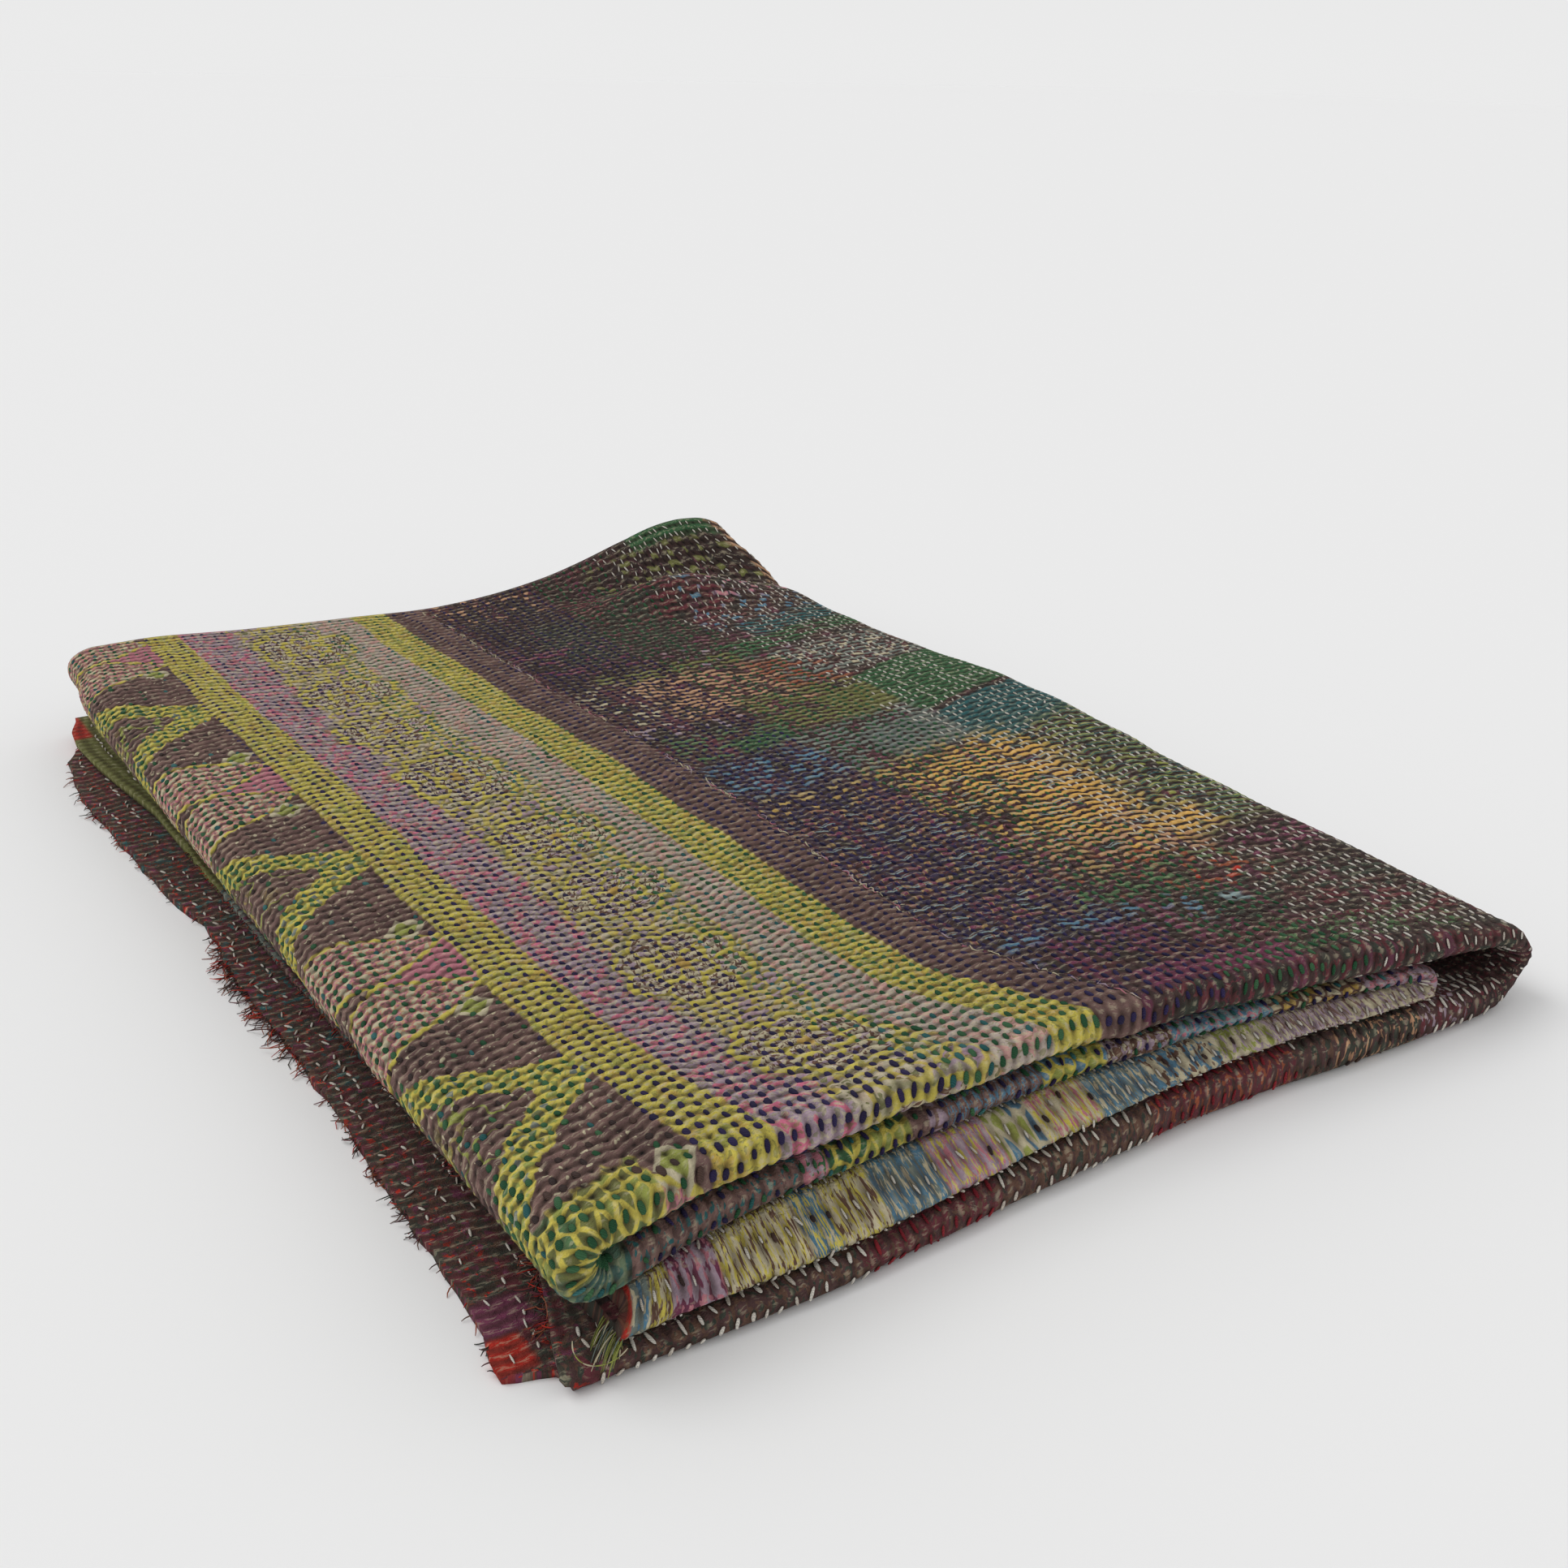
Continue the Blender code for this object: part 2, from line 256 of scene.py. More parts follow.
def settled_height(x, y, z):
    """A ply's cloths keep their thickness, and the air between them takes up the rest."""
    tops = ply_tops(x, y)
    ply = np.clip(z // PLY_PITCH, 0, PLIES - 1).astype(int)
    one = np.arange(len(x))
    room = tops[ply + 1, one] - tops[ply, one]
    thick = CLOTH * np.minimum(1.2, room / PLY_PITCH)
    outer_gap = 0.5 * (PLY_PITCH - CLOTH) - HALF_FOLD_RADIUS
    inner_gap = 2.0 * HALF_FOLD_RADIUS - CLOTH
    under_gap = np.where(ply == 0, 0.0, outer_gap)
    air = (room - 2.0 * thick) / (under_gap + inner_gap + outer_gap)
    lift = along(BACK, "lift", x) * ease(y, LIFT_FROM, LIFT_TO)
    below, between, above = (np.array([getattr(row, part) for row in LIFTED])[ply] for part in Lifted._fields)
    layers = [
        (outer_gap, under_gap * air),
        (CLOTH, thick),
        (inner_gap, inner_gap * air + between * lift),
        (CLOTH, thick),
        (outer_gap, outer_gap * air + above * lift),
    ]
    rest = z - ply * PLY_PITCH
    height = tops[ply, one] + below * lift
    result = height + rest
    found = np.zeros_like(x, bool)
    for neat, real in layers:
        inside = (rest <= neat) & ~found
        result = np.where(inside, height + rest * real / neat, result)
        found |= inside
        rest = rest - neat
        height = height + real
        result = np.where(found, result, height + rest)
    return result


def widened(x):
    """The roll's own width is stretched, and the cloth next to it gives way."""
    near = x * ROLL_WIDTH / PLY_PITCH
    far = ROLL_WIDTH + (x - PLY_PITCH) * (ROLL_TAIL - ROLL_WIDTH) / (ROLL_TAIL - PLY_PITCH)
    stretched = np.where(x < PLY_PITCH, near, far)
    return np.where((x > 0.0) & (x < ROLL_TAIL), stretched, x)


def settled(x, y, z):
    """The small moves that turn the neat fold into the uneven stack."""
    upper = ease(z, PLY_PITCH, 2.0 * PLY_PITCH)
    height = settled_height(np.clip(x, 0.0, STACK_WIDTH), np.maximum(0.0, y), z)
    x = x + (widened(x) - x) * upper
    x = x + ROLL_TUCK * upper * ease(y, TUCK_FROM, TUCK_TO) * (1.0 - ease(x, 0.0, TUCK_WIDTH))
    foot, brow = along(FRONT, "foot", x), along(FRONT, "brow", x)
    set_back = foot + (brow - foot) * upper
    y = (y + set_back * (1.0 - ease(y, 0.0, SET_BACK_TO))
         + along(BACK, "reach", x) * ease(y, REACH_FROM, STACK_DEPTH))
    corner = ease(x, LEAN_FROM_X, LEAN_TO_X) * ease(y, LIFT_FROM, LEAN_TO_Y)
    x = x - LEAN * corner * np.maximum(0.0, height - LEAN_HEIGHT)
    return np.stack([x, y, height], axis=-1)


def folded(lengthwise, across, face):
    """Where points of the flat cloth lie in the settled stack."""
    y, offset = half_fold(across, face)
    x, z, normal_x, normal_z = on_route(lengthwise)
    return settled(x + offset * normal_x, y, z + offset * normal_z)


KEPT = {}
MEASURED_FROM = ROLL - 90.0
MEASURED_TO = THIRD_PANEL + 30.0
MEASURED_AT = -300.0


def roll_stretch():
    """Places along the cloth round the roll, and how much longer the settled cloth is up to each."""
    if "stretch" not in KEPT:
        a = np.linspace(MEASURED_FROM, MEASURED_TO, 300)
        spots = folded(a, np.full_like(a, MEASURED_AT), np.full_like(a, 0.5 * CLOTH))
        steps = np.hypot(np.diff(spots[:, 0]), np.diff(spots[:, 2]))
        KEPT["stretch"] = (a, np.concatenate([[0.0], np.cumsum(steps)]) - (a - a[0]))
    return KEPT["stretch"]


def measured(a):
    """The true length along the settled cloth: the fat roll takes up more cloth than its neat fold."""
    return a + np.interp(a, *roll_stretch())


def unmeasured(length):
    """The neat place along the cloth that lies at a true length."""
    a, extra = roll_stretch()
    inside = np.interp(length, a + extra, a)
    return np.where(length < a[0], length, np.where(length > a[-1] + extra[-1], length - extra[-1], inside))


Wave = namedtuple("Wave", "along across turn")


def drift(a, b, waves):
    """A soft, uneven wandering between -1 and 1, from waves of these lengths in millimetres."""
    total = sum(np.sin(2.0 * pi * (a / wave.along + b / wave.across) + wave.turn
                       + 0.8 * np.sin(2.0 * pi * b / (2.3 * wave.across))) for wave in waves)
    return total / len(waves)


RIPPLE_DRIFT = [Wave(64, 310, 0.3), Wave(-47, 170, 2.1), Wave(105, -95, 4.0), Wave(29, 260, 1.2)]
ROW_DRIFT = [Wave(210, 61, 0.9), Wave(-330, 37, 2.7), Wave(160, 140, 5.1)]
GATHER_DRIFT = [Wave(41, 33, 1.9), Wave(-57, 47, 3.3), Wave(23, -71, 0.4)]
SWELL_DRIFT = [Wave(71, 88, 0.7), Wave(-49, 63, 2.2), Wave(130, -52, 4.4)]


def top_x(a):
    """The distance from the neat stack's left side of a place along the top panel, and less than 0 on the roll."""
    return TOP_LEFT - measured(a)


def border_shift(y):
    """How far the border's bands swing to the right near the front, and a little to the left at the back."""
    return 34.0 * np.clip(1.0 - y / 92.0, 0.0, 1.0) ** 1.8 - 8.0 * ease(y, 300.0, 600.0)


def in_border(x, y):
    """The share of a band's swing that a place takes: all of it by the seam."""
    return x - border_shift(y) * np.clip(x / 200.0, 0.3, 1.0)


def on_cloth(a, b):
    """The stitch lattice wanders as it is sewn, and every second row lags: its place a, b on the flat cloth."""
    calm = ease(HALF_WIDTH - np.abs(b), 2.0, 26.0)
    lag = (0.16 + 0.10 * drift(a, b, SWELL_DRIFT)) * np.cos(pi * row_phase(a)) * ease(np.abs(b), 8.0, 24.0)
    ripple = STITCH * (0.34 * drift(a, b, RIPPLE_DRIFT) + lag) * calm
    row = 0.14 * ROW * drift(a, b, ROW_DRIFT) * calm
    return a + row, b + ripple


def stitch_phase(b):
    """Whole numbers are the middles of stitches, which lie half a step from the sheet's grid lines."""
    return (b + BEND) / STITCH + 0.5 / STEPS_A_STITCH


def row_phase(a):
    """Whole numbers are the rows of stitches."""
    return (measured(a) - TOP_PANEL) / ROW


def row_place(row):
    return unmeasured(TOP_PANEL + ROW * row)


def relief(a, b, ripple_height):
    """Height of the stitched cloth above its smooth fold: ripples between stitches, dimples at them."""
    x = in_border(top_x(a), -b)
    on_border = 1.0 - ease(x, SEAM_X - 2.0, SEAM_X + 6.0)
    strength = (0.66 + 0.34 * on_border) * (1.0 + 0.34 * drift(a, b, GATHER_DRIFT))
    strength = strength * (1.0 - 0.5 * ease(a, THIRD_PANEL - 8.0, THIRD_PANEL + 4.0))
    strength = strength * (0.5 + 0.5 * ease(a, OPEN_FOLD - 12.0, OPEN_FOLD + 12.0))
    puff = 0.5 - 0.5 * np.cos(2.0 * pi * stitch_phase(b))
    at_row = 0.5 + 0.5 * np.cos(2.0 * pi * row_phase(a))
    dimple = at_row * (1.0 - puff)
    ripples = 0.86 * (puff - 0.5) - 0.72 * dimple - 0.10 * at_row
    taut = 0.34 * (puff - 0.5) + 0.34 * (0.5 - at_row) - 0.86 * dimple
    bent = np.maximum(ease(b, -RIBS_FROM, -RIBS_FULL), ease(a, ROLL - 18.0, ROLL))
    gathers = ripples + (taut - ripples) * bent
    edge = 1.1 * on_border * within(x, SEAM_X - 14.0, SEAM_X, 3.0) * (b < 8.0)
    return ripple_height * strength * gathers + edge + 0.55 * drift(a, b, SWELL_DRIFT)


def row_lines(start, end, step):
    """Grid lines on every so many rows between two places along the cloth."""
    rows = np.arange(np.ceil(row_phase(start)), row_phase(end), step)
    return list(row_place(rows))


def flat_lines():
    """Grid lines of the flat cloth along it and across it, closer where it folds or shows."""
    open_fold_rows = int((TOP_PANEL - OPEN_FOLD) / ROW)
    bottom_start = TOP_PANEL - (open_fold_rows + ROWS_A_BLOCK * BOTTOM_BLOCKS) * ROW
    long_lines = [0.0, 12.0, 30.0]
    long_lines += row_lines(bottom_start - 0.1, TOP_PANEL - open_fold_rows * ROW + 0.1, ROWS_A_BLOCK)
    long_lines += [TOP_PANEL - ROW * count for count in range(open_fold_rows - 1, -1, -1)]
    long_lines += row_lines(TOP_PANEL + 0.6 * ROW, ROLL - 16.0, 4)
    long_lines += row_lines(long_lines[-1] + 0.1, THIRD_PANEL - 0.4, 1)
    long_lines += [THIRD_PANEL]
    long_lines += row_lines(THIRD_PANEL + 1.0, INNER_FOLD - 1.0, ROWS_A_BLOCK)
    long_lines += list(np.linspace(INNER_FOLD, FIRST_PANEL, 8))
    long_lines += row_lines(FIRST_PANEL + 1.0, FAR_END - 1.0, ROWS_A_BLOCK)
    long_lines += [FAR_END]
    cross_lines = list(np.linspace(-HALF_WIDTH, -BEND, STITCHES_ACROSS // 2 + 1))
    cross_lines += list(np.linspace(-BEND, BEND, 13)[1:])
    cross_lines += [BEND + STITCH * count for count in (1, 2, 3)]
    cross_lines += list(np.linspace(cross_lines[-1], HALF_WIDTH, 17)[1:])
    return np.array(long_lines), np.array(cross_lines)


FRONT_STRIP = BEND + 3.0 * STITCH + 0.1
LEFT_STRIP = 30.1


def points_of(mesh):
    flat = np.empty(len(mesh.vertices) * 3, np.float32)
    mesh.vertices.foreach_get("co", flat)
    return flat.reshape(-1, 3).astype(float)


def only(piece):
    """Makes a piece the one that the next operator works on."""
    bpy.ops.object.select_all(action="DESELECT")
    piece.select_set(True)
    bpy.context.view_layer.objects.active = piece


def subdivide_edges(piece, chosen, cuts):
    """Cuts the chosen edges of a piece, and no edges between them, into cuts + 1 lengths, in edit mode."""
    only(piece)
    bpy.context.tool_settings.mesh_select_mode = (False, True, False)
    mesh = piece.data
    for part in (mesh.vertices, mesh.polygons):
        part.foreach_set("select", np.zeros(len(part), bool))
    mesh.edges.foreach_set("select", chosen)
    bpy.ops.object.mode_set(mode="EDIT")
    bpy.ops.mesh.subdivide(number_cuts=cuts)
    bpy.ops.object.mode_set(mode="OBJECT")


def edge_ends(mesh):
    ends = np.empty(len(mesh.edges) * 2, np.int32)
    mesh.edges.foreach_get("vertices", ends)
    spots = points_of(mesh)
    return spots[ends[0::2]], spots[ends[1::2]]


def fine_edges(mesh, direction, region, least, most):
    """Edges that run along one direction of the flat cloth, in a region, and have a length in a range."""
    start, end = edge_ends(mesh)
    middle, span = 0.5 * (start + end), np.abs(end - start)
    straight = (span[:, 1 - direction] < 0.01) & (span[:, 2] < 0.01)
    length = span[:, direction]
    return straight & (length > least) & (length < most) & region(middle[:, 0], middle[:, 1], middle[:, 2] > 0.0)


def on_show(a, b, outside):
    """The outer face of the top, the roll and the open fold."""
    return outside & (a > OPEN_FOLD - 0.1) & (a < THIRD_PANEL + 0.1) & (b < FRONT_STRIP)


def at_front(a, b, outside):
    return outside & (b > -BEND - 2.0 * STITCH - 0.1) & (b < FRONT_STRIP)


def at_left(a, b, outside):
    """The two hems of the bottom ply that stick out at the left side."""
    return (a < LEFT_STRIP) & np.where(outside, b > -BEND, b < BEND)


def lay_flat_cloth():
    """The fine flat sheet: a grid, given its thickness, and cut finer where it shows."""
    long_lines, cross_lines = flat_lines()
    columns, rows = len(long_lines) - 1, len(cross_lines) - 1
    bpy.ops.object.select_all(action="DESELECT")
    bpy.ops.mesh.primitive_grid_add(x_subdivisions=columns, y_subdivisions=rows, size=1.0)
    cloth = bpy.context.object
    cloth.name = "quilt_cloth"
    cloth.data.name = "quilt_cloth"
    spots = points_of(cloth.data)
    spots[:, 0] = long_lines[np.rint((spots[:, 0] + 0.5) * columns).astype(int)]
    spots[:, 1] = cross_lines[np.rint((spots[:, 1] + 0.5) * rows).astype(int)]
    spots[:, 2] = 0.0
    cloth.data.vertices.foreach_set("co", spots.ravel())
    cloth.data.update()
    only(cloth)
    thickness = cloth.modifiers.new("thickness", "SOLIDIFY")
    thickness.thickness = CLOTH
    thickness.offset = 0.0
    bpy.ops.object.modifier_apply(modifier=thickness.name)
    passes = [
        (1, on_show, about(2.0 * STITCH), 2 * STEPS_A_STITCH),
        (1, at_front, about(2.0 * STITCH), 2 * STEPS_A_STITCH),
        (1, at_front, about(STITCH), STEPS_A_STITCH),
        (1, at_left, about(2.0 * STITCH), 3),
        (1, at_left, about(cross_lines[-1] - cross_lines[-2]), 16),
        (0, on_show, (1.2, 1.3 * ROW), 2),
        (0, on_show, (2.0 * ROW, 5.0 * ROW), 8),
        (0, at_front, about(ROWS_A_BLOCK * ROW), 2 * ROWS_A_BLOCK),
        (0, at_left, about(12.0), 4),
        (0, at_left, about(18.0), 5),
    ]
    for direction, region, lengths, parts in passes:
        subdivide_edges(cloth, fine_edges(cloth.data, direction, region, *lengths), parts - 1)
    return cloth


def about(length):
    return 0.9 * length, 1.1 * length


def hem_out(a, b):
    """How far the hems at the cloth's beginning stick out, with the ragged outline of the torn one."""
    y = np.abs(b)
    torn = along(TORN_HEM, "out", y, key="y")
    rag = 1.7 * drift(0.0 * b, b, [Wave(50, 13, 0), Wave(50, 7.1, 1), Wave(50, 23, 2), Wave(50, 4.3, 3)])
    torn = torn + rag * ease(y, 20.0, 34.0) * ease(632.0 - y, 0.0, 20.0)
    upper = along(UPPER_HEM, "out", y, key="y")
    return np.where(b < 0.0, torn, upper) * np.clip(1.0 - a / HEM_REACH, 0.0, 1.0)


def cloth_places(a, b):
    """The lattice's place on the flat cloth, with the hems at its beginning moved out."""
    lengthwise, across = on_cloth(a, b)
    return lengthwise - hem_out(a, b), across


def stack_points(a, b, face):
    return folded(*cloth_places(a, b), face)


def surface_frames(a, b, face):
    """Points on the outer or inner face with their normals, and the way that a row of stitches runs."""
    step = 0.4
    spots = stack_points(a, b, face)
    run = stack_points(a, b + step, face) - stack_points(a, b - step, face)
    side = stack_points(a + step, b, face) - stack_points(a - step, b, face)
    run /= np.linalg.norm(run, axis=1)[:, None]
    normal = np.cross(side, run)
    normal /= np.linalg.norm(normal, axis=1)[:, None]
    normal *= np.sign(face)[:, None]
    return spots, normal, run


def smooth_cloth_normals(mesh):
    flat = np.empty(len(mesh.vertices) * 3, np.float32)
    mesh.vertex_normals.foreach_get("vector", flat)
    return flat.reshape(-1, 3).astype(float)


def put_in_place(spots):
    """Millimetres from the stack's front left corner become metres in the frame."""
    return (spots + stack_shift()) * MM


def stack_shift():
    """From the neat stack's corner to the frame's origin, worked out from the solid's box."""
    if "shift" not in KEPT:
        a, b = np.meshgrid(np.linspace(0.0, FAR_END, 400), np.linspace(-HALF_WIDTH, HALF_WIDTH, 401))
        a, b = a.ravel(), b.ravel()
        spots = np.concatenate([folded(a - hem_plain(a, b), b, np.full_like(a, face))
                                for face in (-0.5 * CLOTH, 0.5 * CLOTH)])
        low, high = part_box("quilt")
        middle = 0.5 * (np.array(low) + np.array(high)) / MM
        shift = middle - 0.5 * (spots.min(axis=0) + spots.max(axis=0))
        shift[2] = np.array(low)[2] / MM - spots[:, 2].min()
        KEPT["shift"] = shift
    return KEPT["shift"]


def hem_plain(a, b):
    out = np.where(b < 0.0, along(TORN_HEM, "out", np.abs(b), key="y"), along(UPPER_HEM, "out", np.abs(b), key="y"))
    return out * np.clip(1.0 - a / HEM_REACH, 0.0, 1.0)


def shape_cloth(cloth, ripple_height):
    """Folds the flat sheet, raises its ripples, and gives it its maps: its flat place and its sewing."""
    mesh = cloth.data
    lattice = points_of(mesh)
    a, b, face = lattice.T
    lengthwise, across = cloth_places(a, b)
    spots = folded(lengthwise, across, face)
    mesh.vertices.foreach_set("co", spots.ravel())
    mesh.update()
    normals = smooth_cloth_normals(mesh)
    outside = face > 0.0
    shown = outside & (on_show(a, b, outside) | at_front(a, b, outside))
    calm = ease(HALF_WIDTH - np.abs(b), 0.5, 6.0) * ease(FRONT_STRIP - b, 0.5, 6.0)
    raised = relief(a, b, ripple_height) * calm * shown
    left = at_left(a, b, outside)
    fade = ease(LEFT_STRIP - a, 0.0, 8.0) * ease(a, -0.1, 3.0) * ease(HALF_WIDTH - np.abs(b), 0.5, 6.0)
    raised = np.where(left & ~shown, 0.55 * relief(a, b, ripple_height) * fade, raised)
    spots = spots + normals * raised[:, None]
    spots[:, 2] = np.maximum(spots[:, 2], 0.0)
    mesh.vertices.foreach_set("co", put_in_place(spots).ravel())
    corner_vertex = np.empty(len(mesh.loops), np.int32)
    mesh.loops.foreach_get("vertex_index", corner_vertex)
    maps = [
        ("flat_cloth", measured(lengthwise) * MM, across * MM),
        ("sewing", row_phase(a), stitch_phase(b)),
    ]
    for name, u, v in maps:
        layer = mesh.uv_layers.new(name=name)
        layer.data.foreach_set("uv", np.stack([u, v], axis=-1)[corner_vertex].astype(np.float32).ravel())
    return a, b, face


def face_middles(mesh, values):
    """The mean of a value over each face's corners."""
    corner_vertex = np.empty(len(mesh.loops), np.int32)
    mesh.loops.foreach_get("vertex_index", corner_vertex)
    starts = np.empty(len(mesh.polygons), np.int32)
    totals = np.empty(len(mesh.polygons), np.int32)
    mesh.polygons.foreach_get("loop_start", starts)
    mesh.polygons.foreach_get("loop_total", totals)
    return np.add.reduceat(values[corner_vertex], starts) / totals


def colour(red, green, blue):
    """A screen colour from 0 to 255 as the linear values that a shader takes."""
    parts = []
    for part in (red, green, blue):
        part = part / 255.0
        parts.append(part / 12.92 if part <= 0.04045 else ((part + 0.055) / 1.055) ** 2.4)
    return (*parts, 1.0)


class Flow:
    """A number, vector or colour that flows through a material's network."""

    def __init__(self, net, socket):
        self.net = net
        self.socket = socket

    def __add__(self, other):
        return self.net.math("ADD", self, other)

    def __sub__(self, other):
        return self.net.math("SUBTRACT", self, other)

    def __rsub__(self, other):
        return self.net.math("SUBTRACT", other, self)

    def __mul__(self, other):
        return self.net.math("MULTIPLY", self, other)

    def __truediv__(self, other):
        return self.net.math("DIVIDE", self, other)

    __radd__ = __add__
    __rmul__ = __mul__


class Net:
    """A material and its node network, written as arithmetic."""

    def __init__(self, name, roughness):
        self.material = bpy.data.materials.new(name)
        self.material.use_nodes = True
        self.tree = self.material.node_tree
        self.shader = self.tree.nodes["Principled BSDF"]
        self.shader.inputs["Roughness"].default_value = roughness
        self.shader.inputs["Specular IOR Level"].default_value = 0.25

    def feed(self, socket, value):
        if isinstance(value, Flow):
            self.tree.links.new(value.socket, socket)
        else:
            socket.default_value = value

    def math(self, operation, *values):
        node = self.tree.nodes.new("ShaderNodeMath")
        node.operation = operation
        for socket, value in zip(node.inputs, values):
            self.feed(socket, value)
        return Flow(self, node.outputs[0])

    def rise(self, value, start, end):
        node = self.tree.nodes.new("ShaderNodeMapRange")
        node.interpolation_type = "SMOOTHSTEP"
        self.feed(node.inputs["Value"], value)
        self.feed(node.inputs["From Min"], start)
        self.feed(node.inputs["From Max"], end)
        return Flow(self, node.outputs["Result"])

    def fall(self, value, start, end):
        node = self.tree.nodes.new("ShaderNodeMapRange")
        node.interpolation_type = "SMOOTHSTEP"
        self.feed(node.inputs["Value"], value)
        self.feed(node.inputs["From Min"], start)
        self.feed(node.inputs["From Max"], end)
        node.inputs["To Min"].default_value = 1.0
        node.inputs["To Max"].default_value = 0.0
        return Flow(self, node.outputs["Result"])

    def band(self, value, start, end, soft):
        return self.rise(value, start - soft, start + soft) * self.fall(value, end - soft, end + soft)

    def line(self, distance, half_width, soft=0.5):
        return self.fall(self.math("ABSOLUTE", distance), half_width - soft, half_width + soft)

    def most(self, *values):
        result = values[0]
        for value in values[1:]:
            result = self.math("MAXIMUM", result, value)
        return result

    def vector(self, x, y, z=0.0):
        node = self.tree.nodes.new("ShaderNodeCombineXYZ")
        for socket, value in zip(node.inputs, (x, y, z)):
            self.feed(socket, value)
        return Flow(self, node.outputs[0])

    def noise(self, x, y, size, detail=2.0, roughness=0.5, stretch=1.0, offset=0.0):
        """Noise with features of a size in millimetres, and stretch times as long along x."""
        node = self.tree.nodes.new("ShaderNodeTexNoise")
        node.noise_dimensions = "2D"
        node.inputs["Scale"].default_value = 1.0
        node.inputs["Detail"].default_value = detail
        node.inputs["Roughness"].default_value = roughness
        place = self.vector(x * (1.0 / (size * stretch)) + offset, y * (1.0 / size) + 0.7 * offset)
        self.feed(node.inputs["Vector"], place)
        return Flow(self, node.outputs[0])

    def cells(self, x, y, size, uneven=1.0):
        """Cells of a size: the distance to their edges, and a random number for each."""
        place = self.vector(x * (1.0 / size), y * (1.0 / size))
        found = []
        for feature, output in (("DISTANCE_TO_EDGE", "Distance"), ("F1", "Color")):
            node = self.tree.nodes.new("ShaderNodeTexVoronoi")
            node.voronoi_dimensions = "2D"
            node.feature = feature
            node.inputs["Scale"].default_value = 1.0
            node.inputs["Randomness"].default_value = uneven
            self.feed(node.inputs["Vector"], place)
            found.append(Flow(self, node.outputs[output]))
        edge, tint = found
        split = self.tree.nodes.new("ShaderNodeSeparateColor")
        self.feed(split.inputs[0], tint)
        return edge * size, Flow(self, split.outputs[0])

    def mix(self, share, first, second):
        node = self.tree.nodes.new("ShaderNodeMix")
        node.data_type = "RGBA"
        self.feed(node.inputs[0], share)
        self.feed(node.inputs[6], first)
        self.feed(node.inputs[7], second)
        return Flow(self, node.outputs[2])

    def dimmed(self, base, light):
        node = self.tree.nodes.new("ShaderNodeMix")
        node.data_type = "RGBA"
        node.blend_type = "MULTIPLY"
        node.inputs[0].default_value = 1.0
        self.feed(node.inputs[6], base)
        self.feed(node.inputs[7], self.grey(light))
        return Flow(self, node.outputs[2])

    def grey(self, light):
        node = self.tree.nodes.new("ShaderNodeCombineColor")
        for socket in node.inputs[:3]:
            self.feed(socket, light)
        return Flow(self, node.outputs[0])

    def attribute(self, name):
        node = self.tree.nodes.new("ShaderNodeAttribute")
        node.attribute_name = name
        return Flow(self, node.outputs["Fac"])

    def map_place(self, name):
        """The two values that one of the cloth's own maps gives."""
        node = self.tree.nodes.new("ShaderNodeUVMap")
        node.uv_map = name
        split = self.tree.nodes.new("ShaderNodeSeparateXYZ")
        self.feed(split.inputs[0], Flow(self, node.outputs[0]))
        return Flow(self, split.outputs[0]), Flow(self, split.outputs[1])

    def flat_place(self):
        """Millimetres along and across the flat cloth."""
        along_cloth, across_cloth = self.map_place("flat_cloth")
        return along_cloth * (1.0 / MM), across_cloth * (1.0 / MM)

    def size_of(self, value):
        return self.math("ABSOLUTE", value)

    def between(self, share, first, second):
        """A number that goes from the first to the second as the share goes from 0 to 1."""
        return first + (second - first) * share

    def bump(self, height, distance, strength=1.0):
        node = self.tree.nodes.new("ShaderNodeBump")
        node.inputs["Strength"].default_value = strength
        node.inputs["Distance"].default_value = distance
        self.feed(node.inputs["Height"], height)
        self.tree.links.new(node.outputs[0], self.shader.inputs["Normal"])

    def finish(self, base):
        self.feed(self.shader.inputs["Base Color"], base)
        return self.material


MAUVE = colour(118, 92, 86)
MAUVE_DARK = colour(94, 72, 69)
YELLOW = colour(190, 176, 80)
OCHRE = colour(178, 146, 74)
LIME = colour(142, 148, 74)
OLIVE = colour(108, 110, 62)
GREEN = colour(52, 94, 60)
LEAF = colour(80, 108, 72)
TEAL = colour(44, 90, 92)
BLUE = colour(82, 120, 142)
PALE_BLUE = colour(132, 152, 154)
GREY_BLUE = colour(106, 116, 110)
CREAM = colour(184, 174, 146)
LILAC = colour(156, 136, 148)
PINK = colour(178, 112, 124)
ROSE = colour(192, 104, 128)
PEACH = colour(180, 138, 106)
BROWN = colour(98, 72, 60)
MAROON = colour(80, 57, 56)
WINE = colour(98, 47, 54)
MAGENTA = colour(110, 54, 78)
BLACKISH = colour(54, 43, 43)
DARK_GREEN = colour(56, 61, 53)
INDIGO = colour(60, 51, 74)
RED = colour(172, 44, 34)
RUST = colour(144, 78, 54)
ORANGE = colour(212, 164, 84)


def wandering(net, x, y, amount=1.0):
    """The hand-printed look: places moved a little by soft noise."""
    slow = net.noise(x, y, 60.0, 1.0, offset=3.1) - 0.5
    quick = net.noise(x, y, 6.5, 2.0, offset=9.7) - 0.5
    slow_y = net.noise(x, y, 55.0, 1.0, offset=17.3) - 0.5
    return x + slow * (9.0 * amount) + quick * (4.0 * amount), y + slow_y * (9.0 * amount) + quick * (3.0 * amount)


